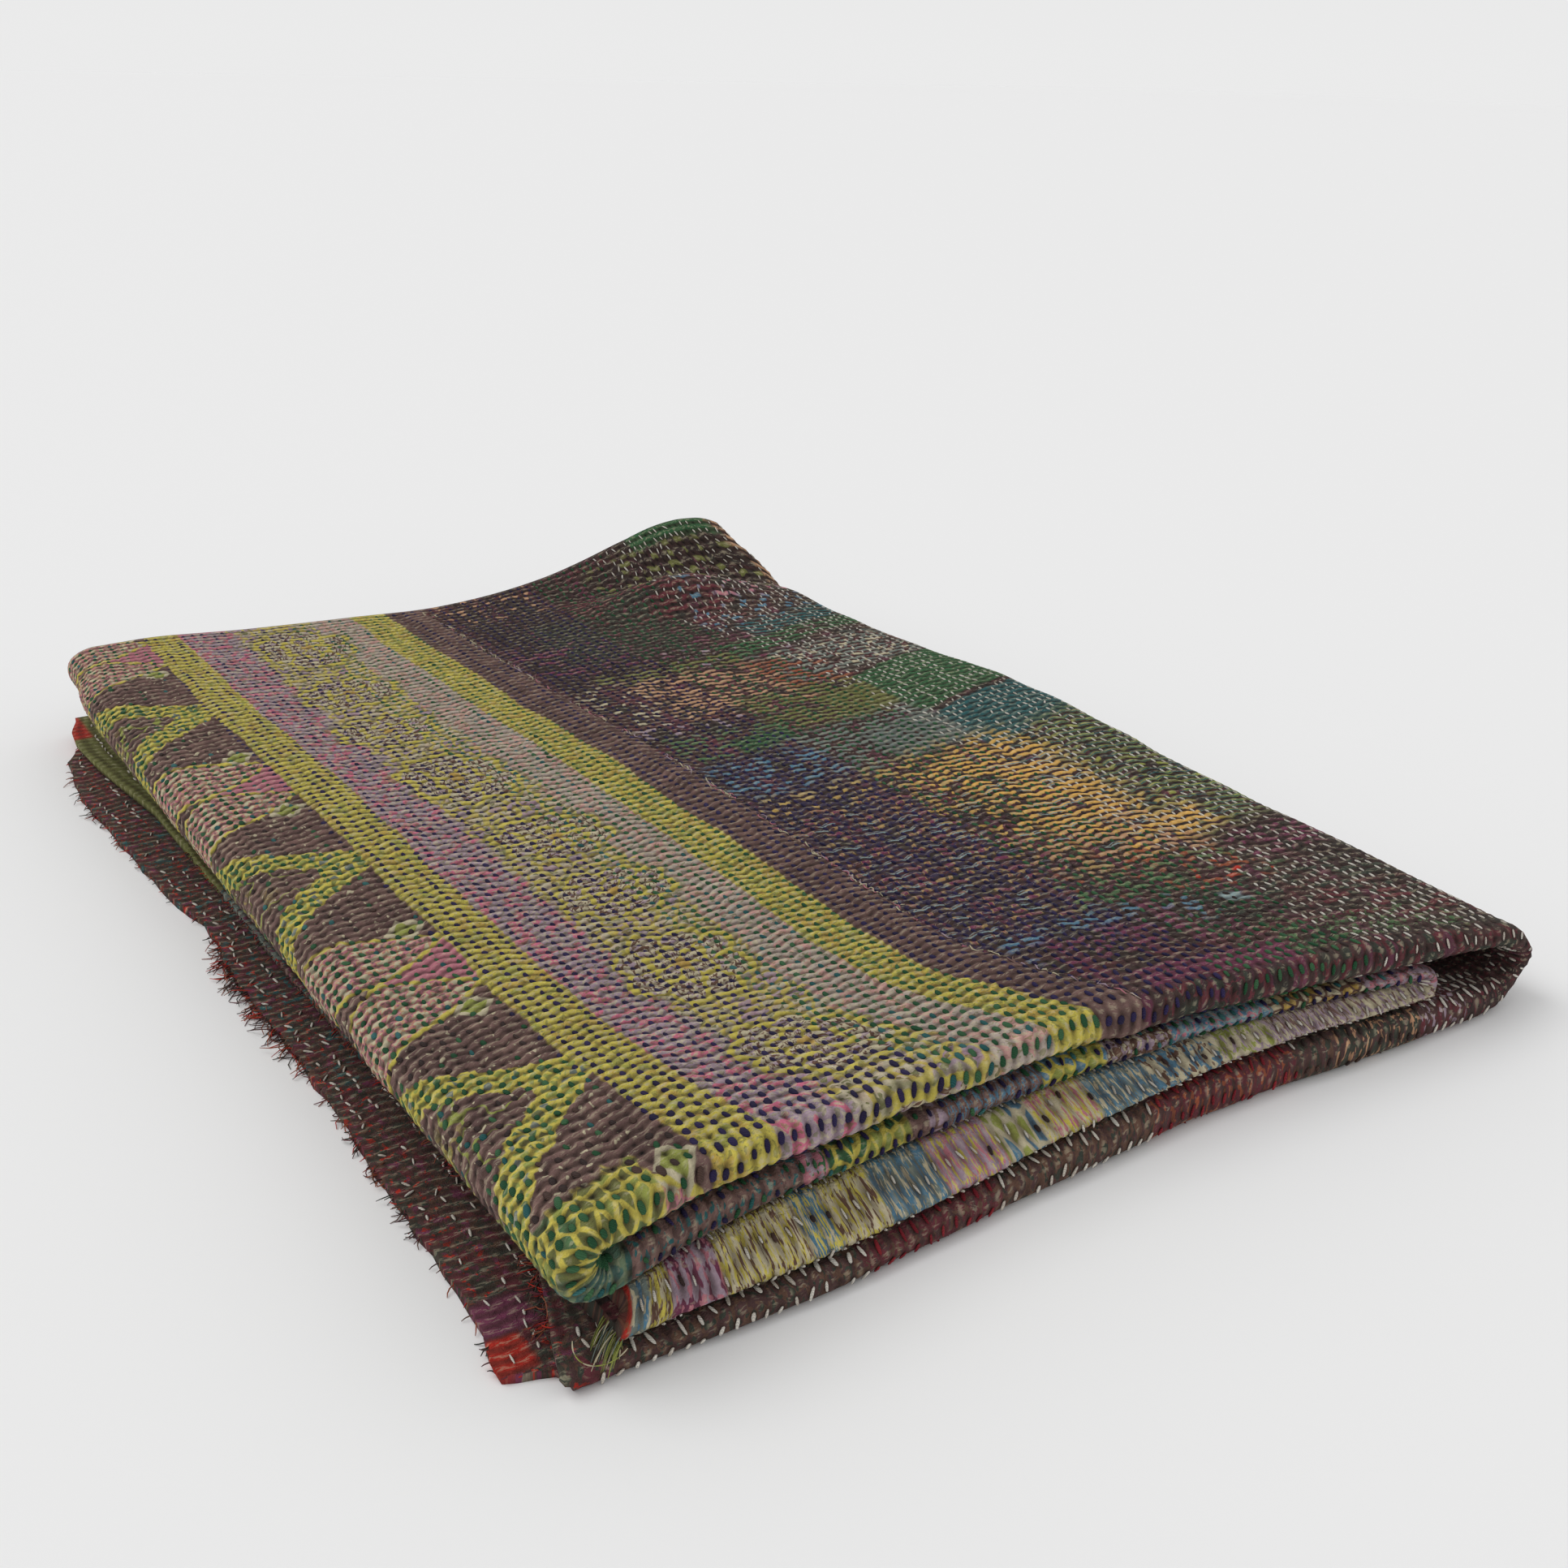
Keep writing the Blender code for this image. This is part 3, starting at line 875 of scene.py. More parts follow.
def finish_with_wear_and_painted_shade(net, base, x, y, across, painted_shade_and_highlight=0.36, pale=0.34, painted_hole_shadow=0.42):
    """Ridges are rubbed paler and get a painted highlight, the dips get painted shade and a brown tint of dirt and
    painted shade, the needle holes a painted shadow, and the fine creases painted light and shade over their bump;
    a soft noise of real wear mottles the tone.
    """
    row, stitch = net.map_place("sewing")
    puff = 0.5 - net.math("COSINE", stitch * (2.0 * pi)) * 0.5
    at_row = 0.5 + net.math("COSINE", row * (2.0 * pi)) * 0.5
    taut = net.between(0.55, puff, 1.0 - at_row)
    ridge = net.between(net.rise(across, -RIBS_FROM, -RIBS_FULL), puff, taut)
    # where the needle holes sink in, for the painted shadow round them
    hole = net.math("POWER", at_row, 2.4) * net.math("POWER", 1.0 - puff, 1.3)
    wear = net.noise(x, y, 26.0, 3.0, 0.6, offset=31.0)
    crease = net.noise(x, y, 2.2, 4.0, 0.7, stretch=1.7, offset=12.0)
    strands = net.noise(x, y, 1.1, 2.0, 0.6, stretch=4.0, offset=19.0)
    # painted shade and highlight: the ridges lit lighter, the dips, the needle holes and the fine creases darker,
    # with a soft real wear mottle
    light = (1.0 - painted_shade_and_highlight) + ridge * (1.9 * painted_shade_and_highlight) + (wear - 0.5) * 0.4 + (crease - 0.5) * 0.9 - hole * painted_hole_shadow
    rubbed = net.rise(ridge, 0.45, 0.95) * net.rise(strands, 0.48, 0.60) * pale
    base = net.mix(rubbed, base, CREAM)
    # the dips tinted brown: dirt and painted shade together
    base = net.mix(net.fall(ridge, 0.05, 0.7) * 0.30, base, BROWN)
    base = net.dimmed(base, light)
    fibre = net.noise(x, y, 0.45, 2.0, 0.7, offset=5.0)
    net.bump(fibre * 0.25 + crease + strands * 0.35, 0.0018)
    return net.finish(base)


Patch = namedtuple("Patch", "x0 x1 y0 y1 slant colour cover run soft")
FIELD = [
    Patch(222, 530, 575, 660, 0, BLACKISH, 0.50, "dot", 14),
    Patch(222, 345, 446, 590, 0, BLACKISH, 0.62, "dot", 14),
    Patch(218, 290, 592, 660, 0, PEACH, 0.30, "dash", 6),
    Patch(330, 530, 570, 622, 0, OLIVE, 0.42, "dash", 8),
    Patch(372, 458, 620, 660, 0, GREEN, 0.97, "dot", 1.5),
    Patch(456, 530, 584, 660, 0, PEACH, 0.66, "dash", 1.5),
    Patch(456, 530, 584, 660, 0, BROWN, 0.44, "dot", 3),
    Patch(290, 400, 520, 590, 0, WINE, 0.50, "long", 8),
    Patch(222, 300, 470, 530, 0, MAGENTA, 0.44, "long", 8),
    Patch(250, 340, 480, 560, 0, DARK_GREEN, 0.60, "dot", 8),
    Patch(300, 380, 440, 500, 0, MAGENTA, 0.40, "long", 8),
    Patch(300, 400, 452, 480, 0, LILAC, 0.22, "dash", 5),
    Patch(360, 530, 500, 562, 0.25, BLUE, 0.34, "dash", 6),
    Patch(380, 530, 486, 512, 0.25, TEAL, 0.62, "long", 4),
    Patch(380, 480, 540, 566, 0.25, PINK, 0.32, "dash", 6),
    Patch(340, 530, 452, 474, 0.28, GREEN, 0.72, "long", 3),
    Patch(250, 345, 440, 462, 0.1, OLIVE, 0.55, "long", 4),
    Patch(345, 530, 398, 452, 0.15, GREY_BLUE, 0.66, "dash", 5),
    Patch(360, 530, 400, 450, 0.15, CREAM, 0.30, "dash", 5),
    Patch(345, 480, 410, 450, 0.15, WINE, 0.36, "dot", 5),
    Patch(228, 300, 360, 445, 0, CREAM, 0.34, "dash", 8),
    Patch(262, 352, 372, 446, 0, PEACH, 0.52, "dash", 8),
    Patch(228, 300, 344, 372, 0, LILAC, 0.34, "dash", 5),
    Patch(340, 388, 384, 446, 0, RUST, 0.50, "long", 6),
    Patch(300, 388, 334, 394, 0, OLIVE, 0.62, "long", 6),
    Patch(346, 386, 336, 372, 0.2, OLIVE, 0.95, "dot", 3),
    Patch(228, 306, 312, 352, 0, LEAF, 0.48, "dash", 6),
    Patch(262, 300, 316, 334, 0.1, GREEN, 0.85, "dot", 4),
    Patch(384, 530, 322, 394, 0.28, GREEN, 0.95, "dot", 1.2),
    Patch(384, 530, 262, 316, 0.28, TEAL, 0.95, "dot", 1.6),
    Patch(284, 386, 256, 322, 0.22, GREY_BLUE, 0.62, "dash", 8),
    Patch(330, 386, 268, 312, 0.22, GREY_BLUE, 0.80, "dot", 4),
    Patch(228, 300, 258, 310, 0, INDIGO, 0.60, "long", 8),
    Patch(228, 300, 262, 306, 0, BLUE, 0.44, "dash", 8),
    Patch(380, 530, 116, 262, 0.35, OLIVE, 0.64, "long", 10),
    Patch(390, 530, 130, 258, 0.35, LIME, 0.40, "dash", 8),
    Patch(370, 530, 116, 256, 0.35, TEAL, 0.74, "line", 8),
    Patch(288, 400, 100, 262, 0.12, OLIVE, 0.34, "dash", 12),
    Patch(290, 410, 122, 266, 0.12, OCHRE, 0.50, "dash", 18),
    Patch(334, 396, 134, 258, 0.12, ORANGE, 0.62, "long", 14),
    Patch(312, 400, 116, 262, 0.12, ORANGE, 0.46, "dash", 16),
    Patch(352, 424, 112, 136, 0.35, ORANGE, 0.64, "long", 8),
    Patch(300, 400, 120, 250, 0.12, PALE_BLUE, 0.34, "line", 8),
    Patch(296, 400, 96, 150, 0.12, PEACH, 0.44, "dash", 8),
    Patch(222, 308, 60, 256, 0, INDIGO, 0.50, "dot", 12),
    Patch(224, 330, 70, 256, 0, CREAM, 0.32, "dash", 10),
    Patch(224, 330, 66, 256, 0, OCHRE, 0.34, "dash", 12),
    Patch(224, 300, 66, 230, 0, PALE_BLUE, 0.34, "line", 8),
    Patch(224, 320, 60, 236, 0, MAGENTA, 0.30, "dash", 12),
    Patch(300, 400, 78, 128, 0, RUST, 0.40, "long", 8),
    Patch(290, 410, 70, 112, 0, LEAF, 0.40, "dash", 8),
    Patch(300, 470, 40, 84, 0, DARK_GREEN, 0.50, "dash", 10),
    Patch(236, 340, 44, 72, 0.05, BLUE, 0.46, "dash", 5),
    Patch(240, 330, 34, 60, 0.05, MAGENTA, 0.46, "dash", 5),
    Patch(350, 400, 74, 96, 0.1, RED, 0.30, "dash", 5),
    Patch(400, 475, 90, 118, 0.2, MAGENTA, 0.50, "dash", 6),
    Patch(355, 366, 58, 68, 0, PALE_BLUE, 0.97, "dot", 1.5),
    Patch(380, 475, 20, 60, 0, WINE, 0.50, "long", 10),
    Patch(264, 345, 6, 22, 0, MAGENTA, 0.70, "dot", 3),
    Patch(345, 440, 2, 34, 0, LEAF, 0.40, "dot", 4),
    Patch(262, 530, -30, 8, 0, WINE, 0.42, "dot", 4),
    Patch(262, 530, -30, 6, 0, DARK_GREEN, 0.40, "dash", 4),
]


FIELD_ZONES = (-60.0, 130.0, 262.0, 400.0, 700.0)


def reaches(patch, low, high):
    """Whether a patch of the field comes into the zone between two depths."""
    margin = 2.0 * patch.soft + 12.0
    far = patch.y1 + patch.slant * (min(patch.x1, 490.0) - patch.x0)
    return patch.y0 - margin < high and far + margin > low


def field_colours(net, x, y, base, low, high):
    """The worn old saris right of the seam: rubbed through along the ripples, so that dashes of them show."""
    stitch = net.map_place("sewing")[1]
    ripple = net.math("FLOOR", stitch)
    off_crest = net.size_of(stitch - ripple - 0.5)
    frayed = net.noise(x, y, 3.0, 2.0, 0.7, offset=21.0)
    crest = net.fall(off_crest + frayed * 0.26, 0.38, 0.46)
    thin = net.line(off_crest - 0.22 + frayed * 0.10, 0.06, 0.03)
    streaks = {
        "long": (net.noise(x, ripple * 8.3, 3.0, 2.0, 0.6, stretch=7.0, offset=2.0), crest),
        "dash": (net.noise(x, ripple * 8.3, 3.0, 1.0, 0.5, stretch=2.6, offset=23.0), crest),
        "dot": (net.noise(x, y, 4.2, 3.0, 0.7, stretch=1.3, offset=41.0), 1.0),
        "line": (net.noise(x, ripple * 8.3, 3.0, 1.0, 0.5, stretch=6.0, offset=47.0), thin),
    }
    for patch in FIELD:
        if not reaches(patch, low, high):
            continue
        level = y - x * patch.slant + patch.slant * patch.x0
        inside = net.band(x, patch.x0, patch.x1, patch.soft) * net.band(level, patch.y0, patch.y1, patch.soft)
        edge = 0.5 + (0.5 - patch.cover) * 0.62
        streak, body = streaks[patch.run]
        dashes = net.rise(streak, edge - 0.03, edge + 0.03)
        base = net.mix(inside * dashes * body, base, patch.colour)
    return base


def plaid_ground(net, x, y):
    """Dark maroon with faded magenta lines both ways and dark squares between them."""
    mottle = net.noise(x, y, 30.0, 4.0, 0.65, offset=8.0)
    base = net.mix(net.rise(mottle, 0.38, 0.62), BLACKISH, MAROON)
    upright = net.noise(x, y * 0.0, 13.0, 2.0, 0.6, offset=51.0)
    level = net.noise(x * 0.0, y, 17.0, 2.0, 0.6, offset=61.0)
    weak = net.rise(net.noise(x, y, 22.0, 3.0, 0.7, offset=71.0), 0.36, 0.66)
    base = net.mix(net.rise(upright, 0.54, 0.62) * weak * 0.75, base, MAGENTA)
    base = net.mix(net.rise(level, 0.56, 0.62) * weak * 0.7, base, WINE)
    dark = net.fall(upright, 0.42, 0.50) * net.fall(level, 0.46, 0.54)
    return net.mix(dark * 0.55, base, DARK_GREEN)


def net_of_cells(net, x, y, size, line_colour, cell_colours, half_line=0.55):
    """A printed net: fine lines round cells of a few colours."""
    edge, tint = net.cells(x, y, size)
    cells = cell_colours[0]
    step = 1.0 / len(cell_colours)
    for count, shade in enumerate(cell_colours[1:], 1):
        cells = net.mix(net.rise(tint, count * step - 0.02, count * step + 0.02), cells, shade)
    return net.mix(net.fall(edge, half_line, half_line + 0.5), cells, line_colour)


ARCH_PITCH = 210.0
ARCH_FROM = 77.0
ARCH_REACH = 98.0
ARCH_BEND = 0.78
LINE_1 = 59.0
LINE_2 = 187.0
PETAL_LENGTH = 110.0
PETAL_WIDTH = 21.0
PETAL_SPREAD = 34.0
MEDALLION_X = 126.0
MEDALLION_PITCH = 76.0


def on_print(x, y):
    """Whether a place of the outer border is on an arch or a petal, and not on the plain mauve between them."""
    share = (y - ARCH_FROM) / ARCH_PITCH
    turn = np.maximum(np.abs(np.sin(share * pi)), 0.03)
    middle = LINE_1 - 4.0 - turn ** ARCH_BEND * ARCH_REACH
    slope = turn ** (ARCH_BEND - 1.0) * np.cos(share * pi) * ARCH_REACH * ARCH_BEND * pi / ARCH_PITCH
    on_arch = np.abs(x - middle) / np.hypot(slope, 1.0) < 8.0
    from_top = ARCH_PITCH * (0.5 - np.abs(share - np.rint(share)))
    from_line = np.maximum(LINE_1 - 11.0 - x, 0.0)
    half_width = np.sqrt(np.maximum(1.0 - (from_line / PETAL_LENGTH) ** 2, 0.0)) * PETAL_WIDTH
    centre = PETAL_SPREAD * (1.0 - np.exp(-0.025 * from_line))
    return on_arch | (np.abs(from_top - centre) < half_width) | (x < -26.0)


def arches(net, x, y, base):
    """The outer border: lime arches that meet at the first yellow line, with petals and diamonds between."""
    share = (y - ARCH_FROM) * (1.0 / ARCH_PITCH)
    turn = net.math("MAXIMUM", net.size_of(net.math("SINE", share * pi)), 0.03)
    middle = LINE_1 - 4.0 - net.math("POWER", turn, ARCH_BEND) * ARCH_REACH
    steepness = ARCH_REACH * ARCH_BEND * pi / ARCH_PITCH
    slope = net.math("POWER", turn, ARCH_BEND - 1.0) * net.math("COSINE", share * pi) * steepness
    off_arch = (x - middle) / net.math("SQRT", slope * slope + 1.0)
    inside_arch = net.fall(off_arch, -4.0, 4.0)
    scrolls = net_of_cells(net, x, y, 4.2, YELLOW, [LIME, MAUVE, OLIVE, MAUVE, LEAF], 0.4)
    leafy = net.rise(net.noise(x, y, 15.0, 1.0, 0.4, offset=77.0), 0.52, 0.56)
    base = net.mix(leafy * inside_arch * net.fall(off_arch, -30.0, -12.0), base, scrolls)
    curls = net.noise(x, y, 20.0, 1.0, 0.4, offset=83.0)
    base = net.mix(net.line(curls - 0.5, 0.014, 0.006) * inside_arch, base, LIME)
    flecks = net.rise(net.noise(x, y, 3.0, 1.0, 0.5, offset=79.0), 0.70, 0.74)
    base = net.mix(flecks * net.fall(x, 40.0, 46.0), base, CREAM)
    around = y - ARCH_FROM - ARCH_PITCH * net.math("ROUND", share)
    from_top = ARCH_PITCH * 0.5 - net.size_of(around)
    ragged = net.noise(x, y, 7.0, 2.0, 0.6, offset=87.0) - 0.5
    from_line = net.math("MAXIMUM", LINE_1 - 11.0 - x, 0.0)
    reach = from_line * (1.0 / PETAL_LENGTH)
    half_width = net.math("SQRT", net.math("MAXIMUM", 1.0 - reach * reach, 0.0)) * PETAL_WIDTH
    centre = PETAL_SPREAD - net.math("EXPONENT", from_line * -0.025) * PETAL_SPREAD
    near = net.size_of(from_top - centre) - half_width + ragged * 2.0
    far = from_top + centre - half_width + ragged * 2.0
    speckle = net.noise(x, y, 2.6, 1.0, 0.6, stretch=1.3, offset=91.0)
    petals = net.mix(net.rise(speckle, 0.46, 0.50), PINK, PEACH)
    petals = net.mix(net.rise(speckle, 0.53, 0.57), petals, CREAM)
    petals = net.mix(net.fall(speckle, 0.36, 0.40), petals, MAUVE)
    left_of_line = net.fall(x, LINE_1, LINE_1 + 2.0)
    base = net.mix(net.fall(near, -0.5, 0.5) * left_of_line, base, petals)
    base = net.mix(net.fall(far, -0.5, 0.5) * left_of_line, base, PINK)
    outline = net.most(net.line(near, 1.2), net.line(far, 1.2) * net.fall(near, 0.0, 1.0))
    base = net.mix(outline * net.rise(half_width, 1.0, 6.0) * left_of_line, base, YELLOW)
    diamond = net.size_of(x - 38.0) + net.size_of(from_top - 36.0)
    base = net.mix(net.fall(diamond, 8.5, 9.5), base, CREAM)
    base = net.mix(net.fall(diamond, 5.6, 6.4), base, LIME)
    off_arch = off_arch + ragged * 6.0
    lines = net_of_cells(net, x, y, 4.2, YELLOW, [LIME, OLIVE, GREY_BLUE, LIME, LEAF, LIME], 0.45)
    lines = net.mix(net.rise(net.size_of(off_arch), 5.4, 6.2), lines, YELLOW)
    base = net.mix(net.fall(net.size_of(off_arch), 7.0, 7.8), base, lines)
    low_net = net_of_cells(net, x, y, 4.6, LIME, [GREY_BLUE, LIME, MAUVE, LEAF, LILAC, MAUVE], 0.4)
    base = net.mix(net.fall(x + ragged * 30.0, -34.0, -26.0) * 0.8, base, low_net)
    olive_net = net_of_cells(net, x, y, 5.6, YELLOW, [OLIVE, LEAF, OLIVE, LIME, OLIVE], 0.5)
    corner = net.fall(x + ragged * 14.0, 26.0, 30.0) * net.fall(y + ragged * 10.0, 18.0, 22.0)
    base = net.mix(corner, base, olive_net)
    under = net.fall(x + ragged * 16.0, -26.0, -20.0) * net.fall(y + ragged * 24.0, 40.0, 48.0)
    return net.mix(under * 0.8, base, TEAL)


def medallions(net, x, y, base):
    """The row of round flowers: two rings of petals with yellow outlines and fine brown and cream strokes."""
    sway = net.noise(x, y, 14.0, 2.0, 0.6, offset=101.0) - 0.5
    other = net.noise(x, y, 12.0, 2.0, 0.6, offset=103.0) - 0.5
    edge, tint = net.cells(x + sway * 8.0, y + other * 8.0, 8.0)
    strokes = net.noise(x, y, 2.2, 1.0, 0.6, stretch=1.8, offset=111.0)
    leaves = net.mix(net.rise(tint, 0.30, 0.40), LILAC, CREAM)
    leaves = net.mix(net.rise(strokes, 0.56, 0.60), leaves, OLIVE)
    leaves = net.mix(net.fall(edge, 0.7, 1.2), leaves, YELLOW)
    base = net.mix(net.band(x + sway * 18.0, 101.0, 151.0, 2.0) * 0.85, base, leaves)
    uneven_y = y + net.math("SINE", y * (1.0 / 37.0)) * 9.0
    share = (uneven_y - 14.0) * (1.0 / MEDALLION_PITCH)
    off_y = (share - net.math("FLOOR", share) - 0.5) * MEDALLION_PITCH + sway * 6.0
    off_x = x - MEDALLION_X + net.math("SINE", y * (1.0 / 53.0)) * 6.0 + other * 6.0
    reach = net.math("SQRT", off_x * off_x + off_y * off_y)
    angle = net.math("ARCTAN2", off_y, off_x)
    lobes = net.size_of(net.math("SINE", angle * 4.0))
    inner_lobes = net.size_of(net.math("SINE", angle * 3.0))
    outer = reach - (22.0 + lobes * 6.0)
    inner = reach - (10.0 + inner_lobes * 4.0)
    rays = net.noise(angle * 8.0, reach, 1.4, 1.0, 0.5, stretch=0.7, offset=113.0)
    petals = net.mix(net.rise(strokes, 0.38, 0.44), LILAC, CREAM)
    petals = net.mix(net.rise(rays, 0.53, 0.57), petals, BROWN)
    spokes = net.fall(reach * lobes * 0.25, 0.5, 0.9) * net.rise(inner, -0.5, 0.5)
    inner_spokes = net.fall(reach * inner_lobes * 0.33, 0.4, 0.8) * net.fall(inner, -0.5, 0.5)
    outlines = net.most(net.line(outer, 1.7), net.line(inner, 1.4), spokes, inner_spokes)
    petals = net.mix(outlines, petals, YELLOW)
    petals = net.mix(net.fall(reach, 3.0, 4.0), petals, OCHRE)
    base = net.mix(net.line(outer - 2.6, 1.0, 0.8) * 0.6, base, OLIVE)
    return net.mix(net.fall(outer, 1.0, 2.0), base, petals)


def yellow_line(net, x, y, base, place, half_width):
    """A printed yellow line with ochre and lime in it and an uneven edge."""
    mixed = net.noise(x, y, 9.0, 2.0, 0.6, offset=121.0)
    shade = net.mix(net.rise(mixed, 0.56, 0.66) * 0.7, YELLOW, LIME)
    shade = net.mix(net.fall(mixed, 0.36, 0.44) * 0.7, shade, OCHRE)
    small = net.noise(x, y, 2.0, 2.0, 0.6, stretch=1.6, offset=125.0)
    shade = net.mix(net.rise(small, 0.57, 0.63) * 0.6, shade, OLIVE)
    shade = net.mix(net.fall(small, 0.36, 0.42) * 0.5, shade, CREAM)
    return net.mix(net.fall(net.size_of(x - place), half_width - 0.6, half_width + 0.6), base, shade)


def field_cloth(low, high):
    """One zone of the top panel's worn field of old saris, right of the seam."""
    net = Net("field_cloth_from_%d" % max(low, 0.0), 0.92)
    a, b = net.flat_place()
    x, y = wandering(net, TOP_LEFT - a, b * -1.0, 1.2)
    base = field_colours(net, x, y, plaid_ground(net, x, y), low, high)
    return finish_with_wear_and_painted_shade(net, base, x, y, b)


def border_cloth():
    """The top panel's border bands, and the roll that they run into."""
    net = Net("border_cloth", 0.92)
    a, b = net.flat_place()
    x, y = TOP_LEFT - a, b * -1.0
    swing = net.math("POWER", net.math("MAXIMUM", 1.0 - y * (1.0 / 92.0), 0.0), 1.8)
    shift = net.math("MINIMUM", swing, 1.0) * 34.0 - net.rise(y, 300.0, 600.0) * 8.0
    share = net.math("MINIMUM", net.math("MAXIMUM", x * (1.0 / 200.0), 0.3), 1.0)
    x, y = wandering(net, x - shift * share, y, 0.6)
    mottle = net.noise(x, y, 14.0, 3.0, 0.6, offset=131.0)
    border = net.mix(net.rise(mottle, 0.35, 0.65), MAUVE_DARK, MAUVE)
    border = arches(net, x, y, border)
    spots = net.noise(x, y, 4.6, 1.0, 0.5, stretch=1.6, offset=141.0)
    lilac = net.mix(net.rise(spots, 0.53, 0.56), LILAC, ROSE)
    lilac = net.mix(net.band(x, 150.0, 178.0, 4.0) * 0.5, lilac, CREAM)
    pale = net.noise(x, y, 1.6, 2.0, 0.6, stretch=2.2, offset=145.0)
    lilac = net.mix(net.rise(pale, 0.54, 0.62) * 0.7, lilac, CREAM)
    lilac = net.mix(net.fall(pale, 0.36, 0.42) * 0.6, lilac, OLIVE)
    border = net.mix(net.band(x, LINE_1, LINE_2, 2.0), border, lilac)
    border = medallions(net, x, y, border)
    border = yellow_line(net, x, y, border, LINE_1, 11.5)
    border = yellow_line(net, x, y, border, LINE_2, 11.0)
    return finish_with_wear_and_painted_shade(net, border, x, y, b)


def plain_cloth(name, shades, size=16.0, stretch=2.0):
    """Worn cloth of a few colours in soft patches."""
    net = Net(name, 0.92)
    a, b = net.flat_place()
    x, y = wandering(net, a, b)
    base = shades[0]
    for count, shade in enumerate(shades[1:]):
        mask = net.noise(x, y, size, 2.0, 0.6, stretch=stretch, offset=7.0 * count + 1.0)
        base = net.mix(net.rise(mask, 0.56, 0.62), base, shade)
    return finish_with_wear_and_painted_shade(net, base, x, y, b)


Stripe = namedtuple("Stripe", "start ground second third kind")
SECOND_PLY = [
    Stripe(-30, MAUVE, MAUVE_DARK, TEAL, "blotch"),
    Stripe(96, PINK, LILAC, GREEN, "blotch"),
    Stripe(106, GREEN, LIME, YELLOW, "net"),
    Stripe(142, MAUVE, MAUVE_DARK, MAUVE, "blotch"),
    Stripe(150, CREAM, LILAC, MAUVE, "net"),
    Stripe(158, MAUVE, BLUE, MAUVE_DARK, "stroke"),
    Stripe(203, BLUE, LIME, YELLOW, "net"),
    Stripe(236, BROWN, LILAC, CREAM, "blotch"),
    Stripe(268, PALE_BLUE, BLUE, PINK, "blotch"),
    Stripe(322, CREAM, OCHRE, BROWN, "net"),
    Stripe(372, LILAC, PINK, MAUVE, "blotch"),
]
THIRD_PLY = [
    Stripe(-30, DARK_GREEN, BROWN, BLACKISH, "blotch"),
    Stripe(16.4, RED, RUST, RED, "blotch"),
    Stripe(19.0, GREY_BLUE, CREAM, BLUE, "blotch"),
    Stripe(27, YELLOW, BROWN, CREAM, "stroke"),
    Stripe(36, LILAC, MAGENTA, PINK, "blotch"),
    Stripe(56, CREAM, YELLOW, BROWN, "stroke"),
    Stripe(92, BLUE, YELLOW, CREAM, "stroke"),
    Stripe(104, CREAM, YELLOW, BROWN, "stroke"),
    Stripe(124, BLUE, GREY_BLUE, CREAM, "stroke"),
    Stripe(150, LILAC, PINK, YELLOW, "stroke"),
    Stripe(178, BLUE, LIME, CREAM, "net"),
    Stripe(198, CREAM, YELLOW, PINK, "stroke"),
    Stripe(226, BLUE, GREY_BLUE, CREAM, "stroke"),
    Stripe(256, CREAM, BLUE, BROWN, "blotch"),
    Stripe(290, CREAM, LIME, LILAC, "blotch"),
    Stripe(320, LILAC, CREAM, MAUVE, "stroke"),
    Stripe(360, CREAM, LILAC, MAUVE, "blotch"),
]
BOTTOM_PLY = [
    Stripe(-40, MAROON, BROWN, DARK_GREEN, "blotch"),
    Stripe(110, WINE, MAROON, BROWN, "blotch"),
    Stripe(172, BROWN, MAROON, DARK_GREEN, "blotch"),
    Stripe(250, WINE, MAROON, RUST, "blotch"),
    Stripe(330, MAROON, DARK_GREEN, BROWN, "blotch"),
    Stripe(352, DARK_GREEN, MAROON, PEACH, "blotch"),
    Stripe(402, MAROON, WINE, LILAC, "blotch"),
    Stripe(430, BLACKISH, MAROON, WINE, "blotch"),
]


def striped_ply(name, stripes, start, heading, torn=False):
    """A ply that shows as a narrow front: patches of cloth one after another from the left."""
    net = Net(name, 0.92)
    a, b = net.flat_place()
    along_x = start + a * heading
    x, y = wandering(net, along_x, b, 0.6)
    edge, tint = net.cells(x, y, 4.6)
    blobs = net.noise(x, y, 3.4, 2.0, 0.6, offset=4.0)
    specks = net.noise(x, y, 2.2, 1.0, 0.6, offset=14.0)
    strokes = net.noise(y, x, 1.1, 2.0, 0.6, stretch=2.4, offset=24.0)
    other_strokes = net.noise(y, x, 1.3, 2.0, 0.6, stretch=2.0, offset=34.0)
    masks = {
        "blotch": (net.rise(blobs, 0.50, 0.56), net.rise(specks, 0.58, 0.63)),
        "net": (net.rise(tint, 0.45, 0.55), net.fall(edge, 0.4, 0.9)),
        "stroke": (net.rise(strokes, 0.50, 0.55), net.rise(other_strokes, 0.55, 0.60)),
    }
    base = stripes[0].ground
    for stripe in stripes:
        second_mask, third_mask = masks[stripe.kind]
        shades = net.mix(second_mask, stripe.ground, stripe.second)
        shades = net.mix(third_mask, shades, stripe.third)
        base = net.mix(net.rise(x, stripe.start - 0.8, stripe.start + 0.8), base, shades)
    if torn:
        base = torn_colours(net, a, b, base)
    # a weaker painted shade and highlight, and a fainter painted shadow round the needle holes, on the narrow
    # fronts
    return finish_with_wear_and_painted_shade(net, base, x, y, b, painted_shade_and_highlight=0.26, painted_hole_shadow=0.12)


